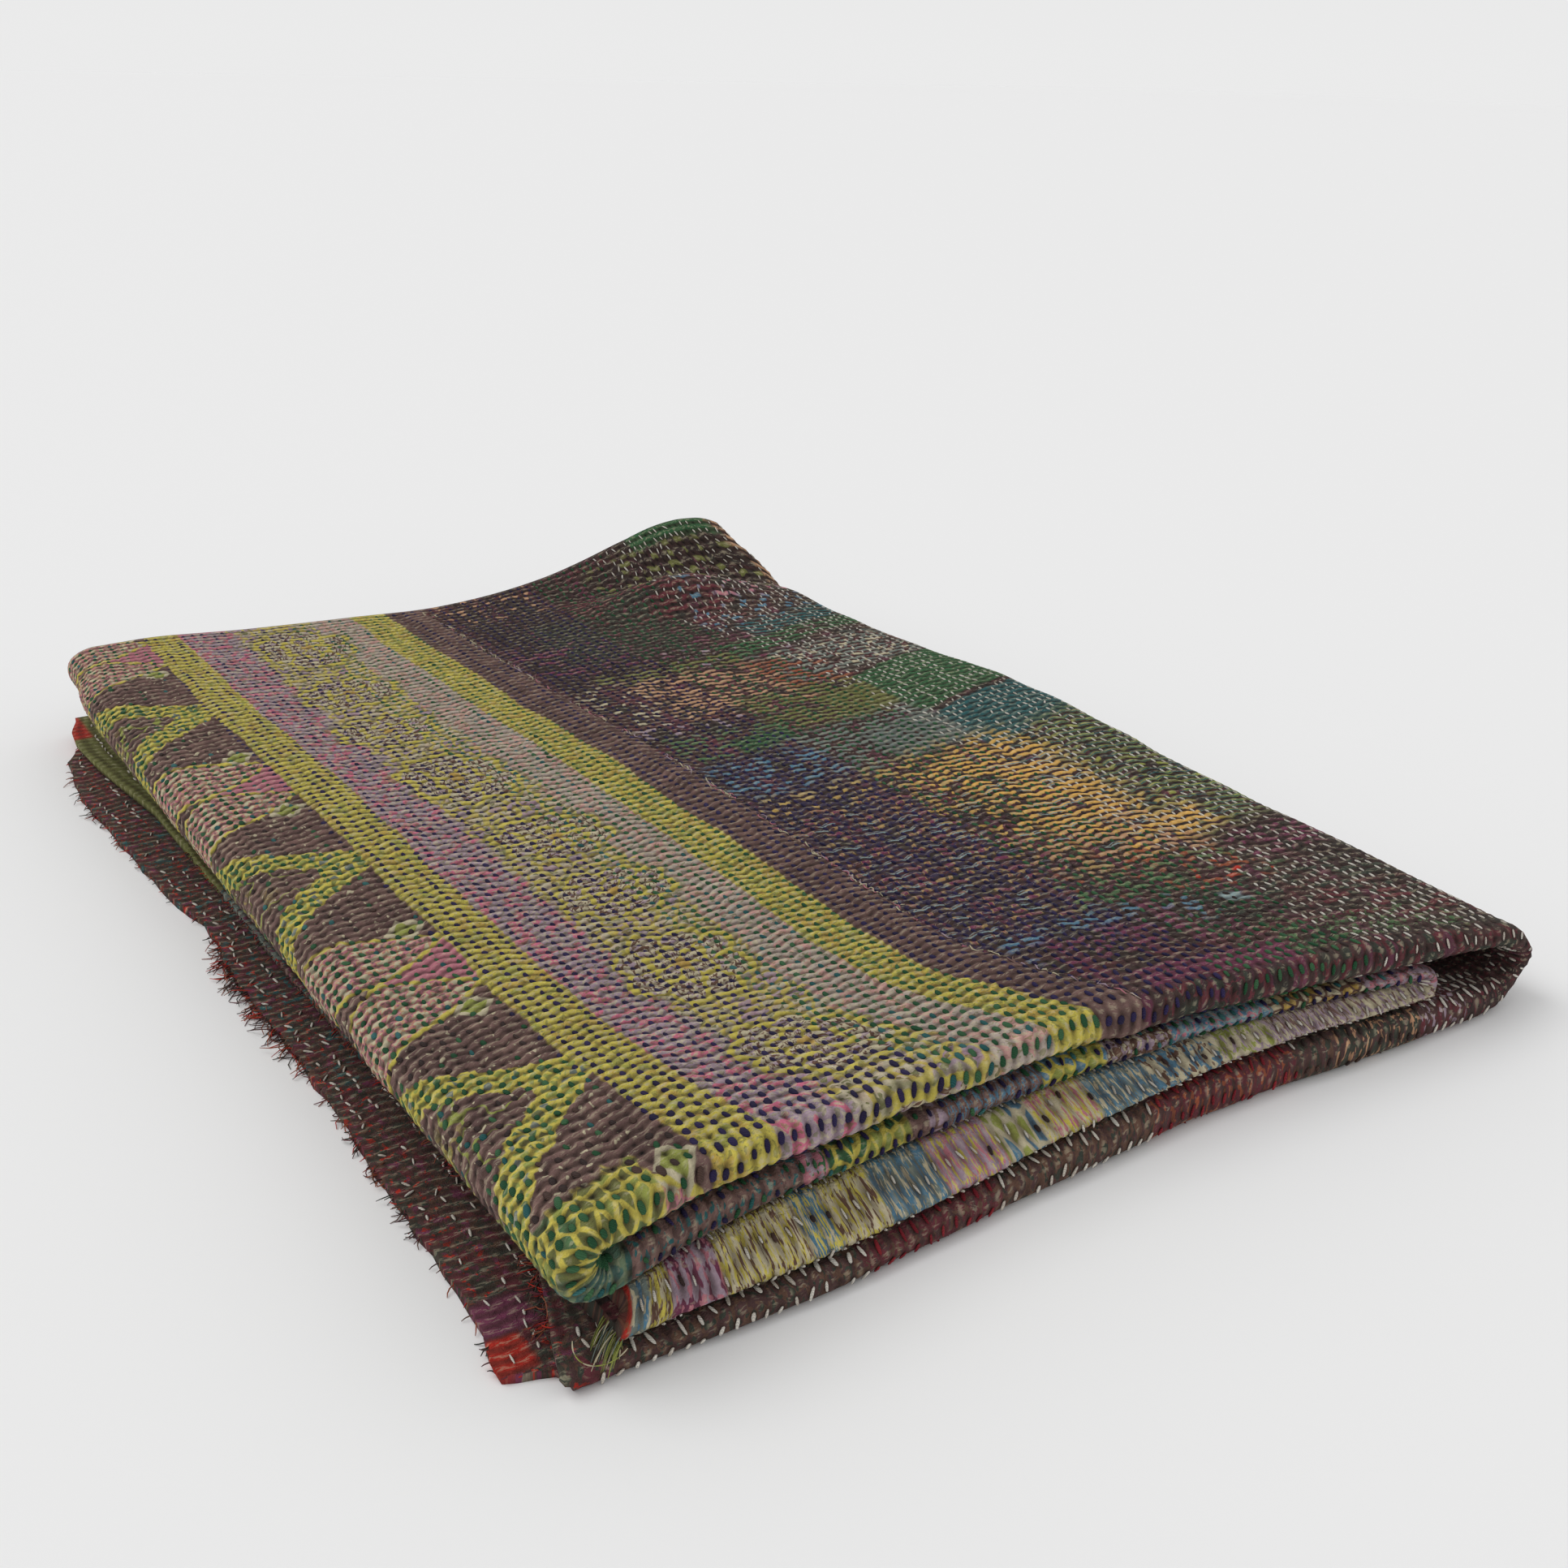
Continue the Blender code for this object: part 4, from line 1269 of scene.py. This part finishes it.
def torn_colours(net, a, b, base):
    """Red, magenta and green scraps along the torn hem at the left side, and olive along the hem over it."""
    near = net.fall(a, 10.0, 18.0)
    depth = net.size_of(b)
    ragged = net.noise(a, b, 9.0, 2.0, 0.6, offset=157.0) - 0.5
    scraps = net.noise(a, b, 8.0, 2.0, 0.6, offset=151.0)
    other = net.noise(a, b, 6.0, 2.0, 0.6, offset=154.0)
    fine = net.noise(a, b, 3.4, 2.0, 0.6, offset=161.0)
    base = net.mix(net.rise(scraps, 0.57, 0.60) * near, base, WINE)
    base = net.mix(net.fall(scraps, 0.39, 0.42) * near * 0.8, base, DARK_GREEN)
    base = net.mix(net.rise(other, 0.62, 0.65) * near, base, MAGENTA)
    base = net.mix(net.fall(other, 0.35, 0.38) * near * net.band(depth, 190.0, 520.0, 20.0), base, TEAL)
    base = net.mix(net.rise(fine, 0.64, 0.67) * net.fall(a, 2.0, 8.0), base, RED)
    upper = net.rise(b, 0.0, 6.0)
    base = net.mix(upper * net.rise(depth + ragged * 40.0, 372.0, 384.0), base, OLIVE)
    grey = net.band(depth + ragged * 30.0, 300.0, 378.0, 3.0)
    base = net.mix(upper * grey * net.rise(fine, 0.42, 0.50), base, GREY_BLUE)
    base = net.mix(net.band(depth, 16.0, 34.0, 1.5) * net.fall(a, -6.0, -3.0), base, RED)
    base = net.mix(net.band(depth, 34.0, 52.0, 1.5) * net.fall(a, 3.0, 6.0), base, MAGENTA)
    base = net.mix(net.rise(depth, 596.0, 600.0) * net.fall(a, 4.0, 7.0), base, RED)
    return base


def cloth_materials():
    return [
        border_cloth(),
        striped_ply("second_ply_cloth", SECOND_PLY, ROLL_RADIUS + CLOTH - float(measured(THIRD_PANEL)), 1.0),
        striped_ply("third_ply_cloth", THIRD_PLY, float(measured(FIRST_PANEL)) + INNER_FOLD_REACH - 11.0, -1.0),
        striped_ply("bottom_ply_cloth", BOTTOM_PLY, FOURTH_PANEL_END, 1.0, torn=True),
        plain_cloth("inner_cloth", [BLACKISH, MAROON, WINE]),
        *[field_cloth(low, high) for low, high in zip(FIELD_ZONES, FIELD_ZONES[1:])],
    ]


def make_cloth(sizes):
    cloth = lay_flat_cloth()
    a, b, face = shape_cloth(cloth, sizes.ripple_height / MM)
    mesh = cloth.data
    middle_a, middle_b, middle_face = (face_middles(mesh, values) for values in (a, b, face))
    panel = np.full(len(mesh.polygons), 3)
    on_top = middle_a > OPEN_FOLD + 30.0
    panel[on_top] = 5 + np.searchsorted(FIELD_ZONES[1:-1], -middle_b[on_top])
    panel[on_top & (in_border(top_x(middle_a), -middle_b) < SEAM_X)] = 0
    panel[middle_a > THIRD_PANEL + 6.0] = 1
    panel[middle_a > 0.5 * (INNER_FOLD + FIRST_PANEL)] = 2
    hidden = middle_face < -0.4 * CLOTH
    panel[hidden & (middle_a > LEFT_STRIP)] = 4
    for material in cloth_materials():
        mesh.materials.append(material)
    mesh.polygons.foreach_set("material_index", panel.astype(np.int32))
    only(cloth)
    bpy.ops.object.mode_set(mode="EDIT")
    bpy.ops.mesh.select_all(action="SELECT")
    bpy.ops.mesh.quads_convert_to_tris(quad_method="BEAUTY", ngon_method="BEAUTY")
    bpy.ops.mesh.normals_make_consistent(inside=False)
    bpy.ops.object.mode_set(mode="OBJECT")
    bpy.ops.object.shade_smooth()
    return cloth


def stitch_template():
    """One stitch: a small ball drawn out to a blunt-ended strand, half sunk in the cloth."""
    bpy.ops.object.select_all(action="DESELECT")
    bpy.ops.mesh.primitive_uv_sphere_add(segments=6, ring_count=4, radius=1.0, rotation=(0.0, 0.5 * pi, 0.0))
    ball = bpy.context.object
    bpy.ops.object.transform_apply(location=False, rotation=True, scale=False)
    spots = points_of(ball.data)
    spots[:, 0] = np.sign(spots[:, 0]) * np.abs(spots[:, 0]) ** 0.9
    faces = [list(face.vertices) for face in ball.data.polygons]
    bpy.data.objects.remove(ball, do_unlink=True)
    return spots, faces


def joined_copies(name, template, places, runs, normals, sizes):
    """Copies of a small shape, each with its own place, direction and size, as one mesh."""
    shape, faces = template
    sides = np.cross(normals, runs)
    spots = (places[:, None, :]
             + shape[None, :, 0:1] * (runs * sizes[:, 0:1])[:, None, :]
             + shape[None, :, 1:2] * (sides * sizes[:, 1:2])[:, None, :]
             + shape[None, :, 2:3] * (normals * sizes[:, 2:3])[:, None, :])
    return repeated_mesh(name, spots, faces)


def repeated_mesh(name, spots, faces):
    """Many small closed shapes with the same faces as one mesh, each with a random tone of its own."""
    count, corners = spots.shape[:2]
    spots[:, :, 2] = np.maximum(spots[:, :, 2], 0.05)
    totals = np.array([len(face) for face in faces])
    loops = np.array([corner for face in faces for corner in face])
    all_loops = (loops[None, :] + corners * np.arange(count)[:, None]).ravel()
    all_totals = np.tile(totals, count)
    mesh = bpy.data.meshes.new(name)
    mesh.vertices.add(count * corners)
    mesh.vertices.foreach_set("co", put_in_place(spots.reshape(-1, 3)).ravel())
    mesh.loops.add(len(all_loops))
    mesh.loops.foreach_set("vertex_index", all_loops.astype(np.int32))
    mesh.polygons.add(len(all_totals))
    mesh.polygons.foreach_set("loop_start", (np.cumsum(all_totals) - all_totals).astype(np.int32))
    mesh.update(calc_edges=True)
    mesh.validate()
    mesh.shade_smooth()
    tone = mesh.attributes.new("tone", "FLOAT", "POINT")
    tones = np.random.default_rng(count).random(count)
    tone.data.foreach_set("value", np.repeat(tones, corners).astype(np.float32))
    piece = bpy.data.objects.new(name, mesh)
    bpy.context.collection.objects.link(piece)
    return piece


def thread_material(name, main, worn):
    """Twisted cotton thread, each stitch a little paler or darker than the next, with painted shade in the grooves
    of its twist.
    """
    net = Net(name, 0.75)
    tone = net.attribute("tone")
    node = net.tree.nodes.new("ShaderNodeTexCoord")
    split = net.tree.nodes.new("ShaderNodeSeparateXYZ")
    net.tree.links.new(node.outputs["Object"], split.inputs[0])
    x, y, z = (Flow(net, socket) * (1.0 / MM) for socket in split.outputs)
    base = net.mix(net.rise(tone, 0.3, 1.0), main, worn)
    strand = net.math("SINE", (x + y * 1.7 + z) * 5.0)
    # painted shade: the colour is darker in the twist's grooves, along the same waves as its bump
    base = net.dimmed(base, 0.85 + strand * 0.12)
    net.bump(strand, 0.00015)
    return net.finish(base)


def lattice_spots(rows, stitches):
    """The lattice places of the stitches in a range of rows and of stitches in each row."""
    row, stitch = np.meshgrid(np.arange(*rows), np.arange(*stitches))
    return row_place(row.ravel()), -BEND + STITCH * (stitch.ravel() - 0.5 / STEPS_A_STITCH)


def stitch_places(random):
    """Every stitch that shows: its lattice place, the face it is on, and the ply it belongs to."""
    marks = (0.0, 24.0, OPEN_FOLD, THIRD_PANEL + 4.0, INNER_FOLD + 8.0, INNER_FOLD + 14.0, FAR_END)
    first_row, hem_row, right_edge, left_edge, second_end, third_start, last_row = (
        int(row_phase(mark)) for mark in marks)
    first_row += 1
    zones = [
        ("top", lattice_spots((right_edge, left_edge + 1), (-STITCHES_ACROSS + 1, 5)), 1.0),
        ("bottom", lattice_spots((first_row, right_edge), (-2, 5)), 1.0),
        ("second", lattice_spots((left_edge + 2, second_end), (-1, 4)), 1.0),
        ("third", lattice_spots((third_start, last_row), (-1, 4)), 1.0),
        ("hem", lattice_spots((first_row, hem_row + 1), (5, STITCHES_ACROSS)), 1.0),
        ("hem", lattice_spots((first_row - 1, hem_row), (-STITCHES_ACROSS + 1, -2)), -1.0),
    ]
    names = np.concatenate([np.full(len(spots[0]), name) for name, spots, _ in zones])
    a = np.concatenate([spots[0] for _, spots, _ in zones])
    b = np.concatenate([spots[1] for _, spots, _ in zones])
    side = np.concatenate([np.full(len(spots[0]), side) for _, spots, side in zones])
    a = a + random.normal(0.0, 0.25, len(a))
    b = b + random.normal(0.0, 0.28, len(b))
    return names, a, b, side


def thread_choice(names, a, b, random):
    """The thread of each stitch: dark purple, green, teal, white or red, by where it is on the cloth."""
    pick = random.random(len(a))
    x, y = in_border(top_x(a), -b), -b
    thread = np.full(len(a), "purple")
    top = names == "top"
    thread[top & (x < 46.0)] = "green"
    thread[top & (x < 46.0) & (pick < 0.10)] = "teal"
    thread[top & (x < 46.0) & ~on_print(x, y) & (pick > 0.35)] = "brown"
    thread[top & (x > 134.0) & (x < 199.0)] = "green"
    thread[top & (x > 134.0) & (x < 176.0) & (pick < 0.25)] = "teal"
    thread[top & (x > 300.0)] = "green"
    thread[top & (x > 300.0) & (pick < 0.35)] = "brown"
    white_from = 372.0 - 26.0 * ease(y, 430.0, 560.0) + 14.0 * (pick - 0.5)
    thread[top & (top_x(a) > white_from)] = "white"
    near = top & (y < 22.0)
    thread[near & (top_x(a) > 300.0) & (top_x(a) < 352.0)] = "green"
    second = names == "second"
    thread[second & (pick < 0.35)] = "green"
    thread[second & (pick > 0.80)] = "teal"
    third = names == "third"
    thread[third] = "white"
    thread[third & (pick < 0.15)] = "brown"
    bottom = (names == "bottom") | (names == "hem")
    thread[bottom] = "white"
    x_bottom = a + FOURTH_PANEL_END
    reds = (within(x_bottom, 112.0, 170.0, 3.0) + within(x_bottom, 252.0, 330.0, 3.0)) > 0.5
    thread[bottom & reds] = "red"
    thread[bottom & (x_bottom > 332.0) & (x_bottom < 402.0)] = "brown"
    return thread


THREADS = {
    "purple": (colour(34, 26, 64), colour(50, 40, 86)),
    "green": (colour(32, 82, 50), colour(64, 110, 72)),
    "teal": (colour(32, 92, 92), colour(62, 118, 116)),
    "white": (colour(240, 234, 222), colour(214, 204, 190)),
    "red": (colour(128, 28, 40), colour(160, 44, 52)),
    "brown": (colour(58, 44, 42), colour(88, 66, 58)),
}


def make_stitches(sizes):
    """The running stitches, one piece for each thread."""
    random = np.random.default_rng(7)
    names, a, b, side = stitch_places(random)
    thread = thread_choice(names, a, b, random)
    on_hem = names == "hem"
    x = in_border(top_x(a), -b)
    on_top = names == "top"
    plain_mauve = on_top & (x < 46.0) & ~on_print(x, -b)
    worn_away = [on_hem, plain_mauve, on_top & (thread == "white"), thread == "white"]
    missing = random.random(len(a)) < np.select(worn_away, [0.55, 0.5, 0.34, 0.10], 0.05)
    face = side * 0.5 * CLOTH
    spots, normals, runs = surface_frames(a, b, face)
    height = relief(a, b, sizes.ripple_height / MM)
    height = np.where(names == "hem", 0.55 * height, height)
    fade = ease(HALF_WIDTH - np.abs(b), 0.5, 6.0)
    in_field = ~on_top | (x > SEAM_X)
    thin = (thread == "white") | (thread == "red")
    length = np.where(thin, 1.0, np.where(in_field, 0.9, 1.0)) * sizes.stitch_length / MM
    width = np.where(thin, 0.42, np.where(in_field, 0.74, 1.0)) * sizes.stitch_width / MM
    near = on_top & (b > -30.0)
    size_up = np.where(near & ~thin, 1.22, 1.0)
    low_front = (names == "bottom") & thin
    length = size_up * np.where(low_front, 1.3 * length, length) * random.uniform(0.7, 1.2, len(a))
    width = size_up * np.where(low_front, 1.5 * width, width) * random.uniform(0.7, 1.2, len(a))
    thickness = np.where(thin, 1.0, 1.5)
    spots = spots + normals * (height * fade + np.where(thin, 0.48, 0.46))[:, None]
    turn = random.normal(0.0, 0.18, len(a))[:, None]
    across = np.cross(normals, runs)
    runs = runs * np.cos(turn) + across * np.sin(turn)
    pieces = []
    template = stitch_template()
    half_sizes = 0.5 * np.stack([length, width, thickness], axis=-1)
    for name, (main, worn) in THREADS.items():
        chosen = (thread == name) & ~missing
        piece = joined_copies("stitches_" + name, template, spots[chosen], runs[chosen], normals[chosen],
                              half_sizes[chosen])
        piece.data.materials.append(thread_material("thread_" + name, main, worn))
        pieces.append(piece)
    return pieces


def strands(name, paths, radius):
    """Thin three-sided strands along a set of paths, as one mesh, finer at their ends."""
    steps = paths.shape[1]
    ahead = np.gradient(paths, axis=1)
    ahead /= np.linalg.norm(ahead, axis=2)[:, :, None]
    side = np.cross(ahead, np.array([0.15, 0.25, 0.96]))
    side /= np.linalg.norm(side, axis=2)[:, :, None]
    over = np.cross(side, ahead)
    reach = radius * (0.35 + 0.65 * np.sin(pi * np.linspace(0.08, 0.92, steps)))[None, :, None]
    corners = [paths + reach * (side * cos(turn) + over * sin(turn)) for turn in (0.0, 2.0 * pi / 3, 4.0 * pi / 3)]
    spots = np.stack(corners, axis=2).reshape(len(paths), 3 * steps, 3)
    faces = [(3 * step + turn, 3 * step + (turn + 1) % 3, 3 * step + 3 + (turn + 1) % 3, 3 * step + 3 + turn)
             for step in range(steps - 1) for turn in range(3)]
    faces += [(2, 1, 0), (3 * steps - 3, 3 * steps - 2, 3 * steps - 1)]
    piece = repeated_mesh(name, spots, faces)
    only(piece)
    bpy.ops.object.mode_set(mode="EDIT")
    bpy.ops.mesh.select_all(action="SELECT")
    bpy.ops.mesh.normals_make_consistent(inside=False)
    bpy.ops.object.mode_set(mode="OBJECT")
    return piece


Fray = namedtuple("Fray", "count start end reach layer")
FRAYS = [
    Fray(520, 14, 624, 3.0, -1),
    Fray(240, 220, 345, 7.5, -1),
    Fray(70, 100, 200, 5.5, -1),
    Fray(60, 430, 560, 5.0, -1),
    Fray(420, 20, 430, 3.0, 1),
    Fray(120, 20, 64, 6.0, 1),
]


def frayed_paths(random):
    """Threads that stick out of the torn hem, and of the hem over it, and droop towards the floor."""
    paths = []
    for fray in FRAYS:
        b = fray.layer * random.uniform(fray.start, fray.end, fray.count)
        face = fray.layer * 0.5 * CLOTH * random.uniform(0.0, 0.9, fray.count)
        root = folded(*cloth_places(random.uniform(0.0, 2.5, fray.count), b), face)
        reach = fray.reach * random.uniform(0.3, 1.6, fray.count)
        way = random.normal(0.0, 0.7, fray.count)
        curl = random.normal(0.0, 0.8, fray.count)
        share = np.linspace(-0.35, 1.0, 5)[None, :]
        turn = way[:, None] + curl[:, None] * share
        x = root[:, 0:1] - reach[:, None] * share * np.cos(turn)
        y = root[:, 1:2] + reach[:, None] * share * np.sin(turn)
        lift = random.uniform(-0.25, 0.25, fray.count) * reach
        z = root[:, 2:3] + lift[:, None] * share - 0.22 * reach[:, None] * np.maximum(share, 0.0) ** 2
        paths.append(np.stack([x, y, np.maximum(z, 0.3)], axis=-1))
    return np.concatenate(paths)


def seam_paths(random):
    """Ends and loops of thread along the seam between the border and the field."""
    count = 150
    y = random.uniform(4.0, 628.0, count)
    x = SEAM_X + 1.0 + border_shift(y) + random.normal(0.0, 1.1, count)
    share = np.linspace(-0.5, 0.5, 5)[None, :]
    half = random.uniform(2.5, 8.0, count)[:, None]
    bend = random.normal(0.0, 1.4, count)[:, None]
    a = unmeasured(TOP_LEFT - x)[:, None] + bend * (share * share * 4.0 - 0.5) + random.normal(0, 0.5, (count, 5))
    b = -y[:, None] + half * share
    face = np.full(a.size, 0.5 * CLOTH)
    spots, normals, _ = surface_frames(a.ravel(), b.ravel(), face)
    spots = spots + normals * (relief(a.ravel(), b.ravel(), 1.0) + 0.45)[:, None]
    return spots.reshape(count, 5, 3)


def corner_paths(random):
    """A ragged tuft under the roll's near end, and a few curly threads that hang there."""
    count = 90
    root = folded(np.full(count, FAR_END - 1.0), random.uniform(4.0, 16.0, count), random.uniform(-2.0, 2.0, count))
    share = np.linspace(0.0, 1.0, 5)[None, :]
    reach = random.uniform(3.0, 10.0, count)[:, None]
    way = random.normal(0.0, 0.45, count)[:, None]
    x = root[:, 0:1] - reach * share * 0.5 + way * 8.0 * share
    y = root[:, 1:2] - 4.0 - reach * share * 0.3 + way * 4.0 * share * share
    z = root[:, 2:3] - reach * share * (0.3 + 0.5 * share)
    tuft = np.stack([x, y, np.maximum(z, 4.0)], axis=-1)
    turn = np.linspace(0.0, 1.0, 5)[None, :] + np.arange(6)[:, None]
    angle = 2.9 + 0.45 * turn
    radius = 11.0 - 0.5 * turn
    curl = np.stack([10.0 + radius * np.cos(angle), -4.0 - 0.6 * turn, 22.0 + radius * np.sin(angle)], axis=-1)
    return np.concatenate([tuft, curl])


def scrap_material(name, shades):
    """Loose cotton of several colours, a strand of each by its tone."""
    net = Net(name, 0.85)
    tone = net.attribute("tone")
    base = shades[0]
    for count, shade in enumerate(shades[1:], 1):
        place = count / len(shades)
        base = net.mix(net.rise(tone, place - 0.01, place + 0.01), base, shade)
    return net.finish(base)


def make_loose_threads():
    """The frays of the hems, the thread ends along the seam and the tuft at the near left corner."""
    random = np.random.default_rng(11)
    plan = [
        ("threads_frayed", frayed_paths(random), 0.30, [BLACKISH, MAROON, RED, BROWN, DARK_GREEN, WINE, RUST]),
        ("threads_seam", seam_paths(random), 0.34, [CREAM, LILAC, MAUVE, PINK, CREAM]),
        ("threads_corner", corner_paths(random), 0.28, [GREY_BLUE, OLIVE, LIME, CREAM]),
    ]
    pieces = []
    for name, paths, radius, shades in plan:
        piece = strands(name, paths, radius)
        piece.data.materials.append(scrap_material(name, shades))
        pieces.append(piece)
    return pieces


def make_stage():
    """A pale floor and soft studio light."""
    bpy.ops.object.select_all(action="DESELECT")
    bpy.ops.mesh.primitive_plane_add(size=40.0)
    floor = bpy.context.object
    floor.name = "floor"
    paper = bpy.data.materials.new("pale_paper")
    paper.use_nodes = True
    shader = paper.node_tree.nodes["Principled BSDF"]
    shader.inputs["Base Color"].default_value = (0.9, 0.9, 0.9, 1.0)
    shader.inputs["Roughness"].default_value = 0.9
    floor.data.materials.append(paper)
    make_sky()
    bpy.ops.object.light_add(type="SUN", location=LAMP_PLACE)
    lamp = bpy.context.object
    lamp.data.energy = LAMP_STRENGTH
    lamp.data.angle = LAMP_ANGLE
    lamp.rotation_euler = (-Vector(LAMP_PLACE)).to_track_quat("-Z", "Y").to_euler()
    bpy.context.scene.view_settings.view_transform = "Standard"


LAMP_PLACE = (-1.2, 0.9, 2.0)
LAMP_STRENGTH = 0.9
LAMP_ANGLE = 0.7
HORIZON_LIGHT = 0.828
ZENITH_LIGHT = 0.62


def make_sky():
    """An even studio light that is a little stronger at the horizon, where it meets the floor's tone."""
    world = bpy.data.worlds.new("studio")
    world.use_nodes = True
    nodes, links = world.node_tree.nodes, world.node_tree.links
    place = nodes.new("ShaderNodeTexCoord")
    split = nodes.new("ShaderNodeSeparateXYZ")
    spread = nodes.new("ShaderNodeMapRange")
    spread.inputs["To Min"].default_value = HORIZON_LIGHT
    spread.inputs["To Max"].default_value = ZENITH_LIGHT
    links.new(place.outputs["Generated"], split.inputs[0])
    links.new(split.outputs[2], spread.inputs["Value"])
    links.new(spread.outputs[0], nodes["Background"].inputs[1])
    nodes["Background"].inputs[0].default_value = (1.0, 1.0, 1.0, 1.0)
    bpy.context.scene.world = world


CAMERA_PLACE = (-0.41786, -0.70756, 0.38328)
CAMERA_YAW = 0.5944
CAMERA_PITCH = 0.3959
CAMERA_ROLL = -0.0270
CAMERA_LENS = 40.242


def make_camera():
    bpy.ops.object.camera_add()
    camera = bpy.context.object
    camera.name = "photo_camera"
    camera.data.lens = CAMERA_LENS
    camera.data.sensor_width = 36.0
    camera.data.clip_start = 0.01
    forward = Vector((sin(CAMERA_YAW) * cos(CAMERA_PITCH), cos(CAMERA_YAW) * cos(CAMERA_PITCH), -sin(CAMERA_PITCH)))
    right = Vector((cos(CAMERA_YAW), -sin(CAMERA_YAW), 0.0))
    down = forward.cross(right)
    side = right * cos(CAMERA_ROLL) + down * sin(CAMERA_ROLL)
    low = down * cos(CAMERA_ROLL) - right * sin(CAMERA_ROLL)
    x, y, z = CAMERA_PLACE
    camera.matrix_world = Matrix((
        (side.x, -low.x, -forward.x, x),
        (side.y, -low.y, -forward.y, y),
        (side.z, -low.z, -forward.z, z),
        (0.0, 0.0, 0.0, 1.0),
    ))
    bpy.context.scene.camera = camera


class QuiltSizes(bpy.types.PropertyGroup):
    """Sizes of the sewing that a user would change."""

    ripple_height: bpy.props.FloatProperty(
        name="Ripple height", description="Height of the ripples between the stitches",
        default=1.0 * MM, unit="LENGTH")
    stitch_length: bpy.props.FloatProperty(
        name="Stitch length", description="Length of a running stitch where it shows",
        default=4.3 * MM, unit="LENGTH")
    stitch_width: bpy.props.FloatProperty(
        name="Stitch width", description="Width of a running stitch of the border",
        default=2.6 * MM, unit="LENGTH")


class QUILT_OT_cloth(bpy.types.Operator):
    """Lay, fold and print the quilt's cloth"""

    bl_idname = "quilt.cloth"
    bl_label = "Folded cloth"

    def execute(self, context):
        cloth = make_cloth(context.scene.quilt_sizes)
        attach(cloth, "root")
        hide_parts("quilt")
        return {"FINISHED"}


class QUILT_OT_stitches(bpy.types.Operator):
    """Sew the rows of running stitch"""

    bl_idname = "quilt.stitches"
    bl_label = "Running stitches"

    def execute(self, context):
        for piece in make_stitches(context.scene.quilt_sizes):
            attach(piece, "root")
        return {"FINISHED"}


class QUILT_OT_loose_threads(bpy.types.Operator):
    """Add the frays of the torn hem, the thread ends along the seam and the tuft at the corner"""

    bl_idname = "quilt.loose_threads"
    bl_label = "Loose threads"

    def execute(self, context):
        for piece in make_loose_threads():
            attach(piece, "root")
        return {"FINISHED"}


class QUILT_OT_stage(bpy.types.Operator):
    """Set up the floor, the light and the camera"""

    bl_idname = "quilt.stage"
    bl_label = "Stage and camera"

    def execute(self, context):
        make_stage()
        make_camera()
        return {"FINISHED"}


class QUILT_PT_panel(bpy.types.Panel):
    """The quilt's sizes and pieces"""

    bl_idname = "QUILT_PT_panel"
    bl_label = "Kantha quilt"
    bl_space_type = "VIEW_3D"
    bl_region_type = "UI"
    bl_category = "Quilt"

    def draw(self, context):
        sizes = context.scene.quilt_sizes
        for name in ("ripple_height", "stitch_length", "stitch_width"):
            self.layout.prop(sizes, name)
        for operator in OPERATORS:
            self.layout.operator(operator.bl_idname)


OPERATORS = (QUILT_OT_cloth, QUILT_OT_stitches, QUILT_OT_loose_threads, QUILT_OT_stage)
CLASSES = (QuiltSizes, *OPERATORS, QUILT_PT_panel)


def register():
    for entry in CLASSES:
        bpy.utils.register_class(entry)
    bpy.types.Scene.quilt_sizes = bpy.props.PointerProperty(type=QuiltSizes)


def unregister():
    del bpy.types.Scene.quilt_sizes
    for entry in reversed(CLASSES):
        bpy.utils.unregister_class(entry)


def declare_cloth():
    """Works out the cloth's full length in metres, and does nothing with it."""
    FAR_END * MM


def main():
    register()
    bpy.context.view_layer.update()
    bpy.ops.quilt.stage()
    bpy.ops.quilt.cloth()
    bpy.ops.quilt.stitches()
    bpy.ops.quilt.loose_threads()
    declare_cloth()
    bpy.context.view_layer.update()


if __name__ == "__main__":
    main()
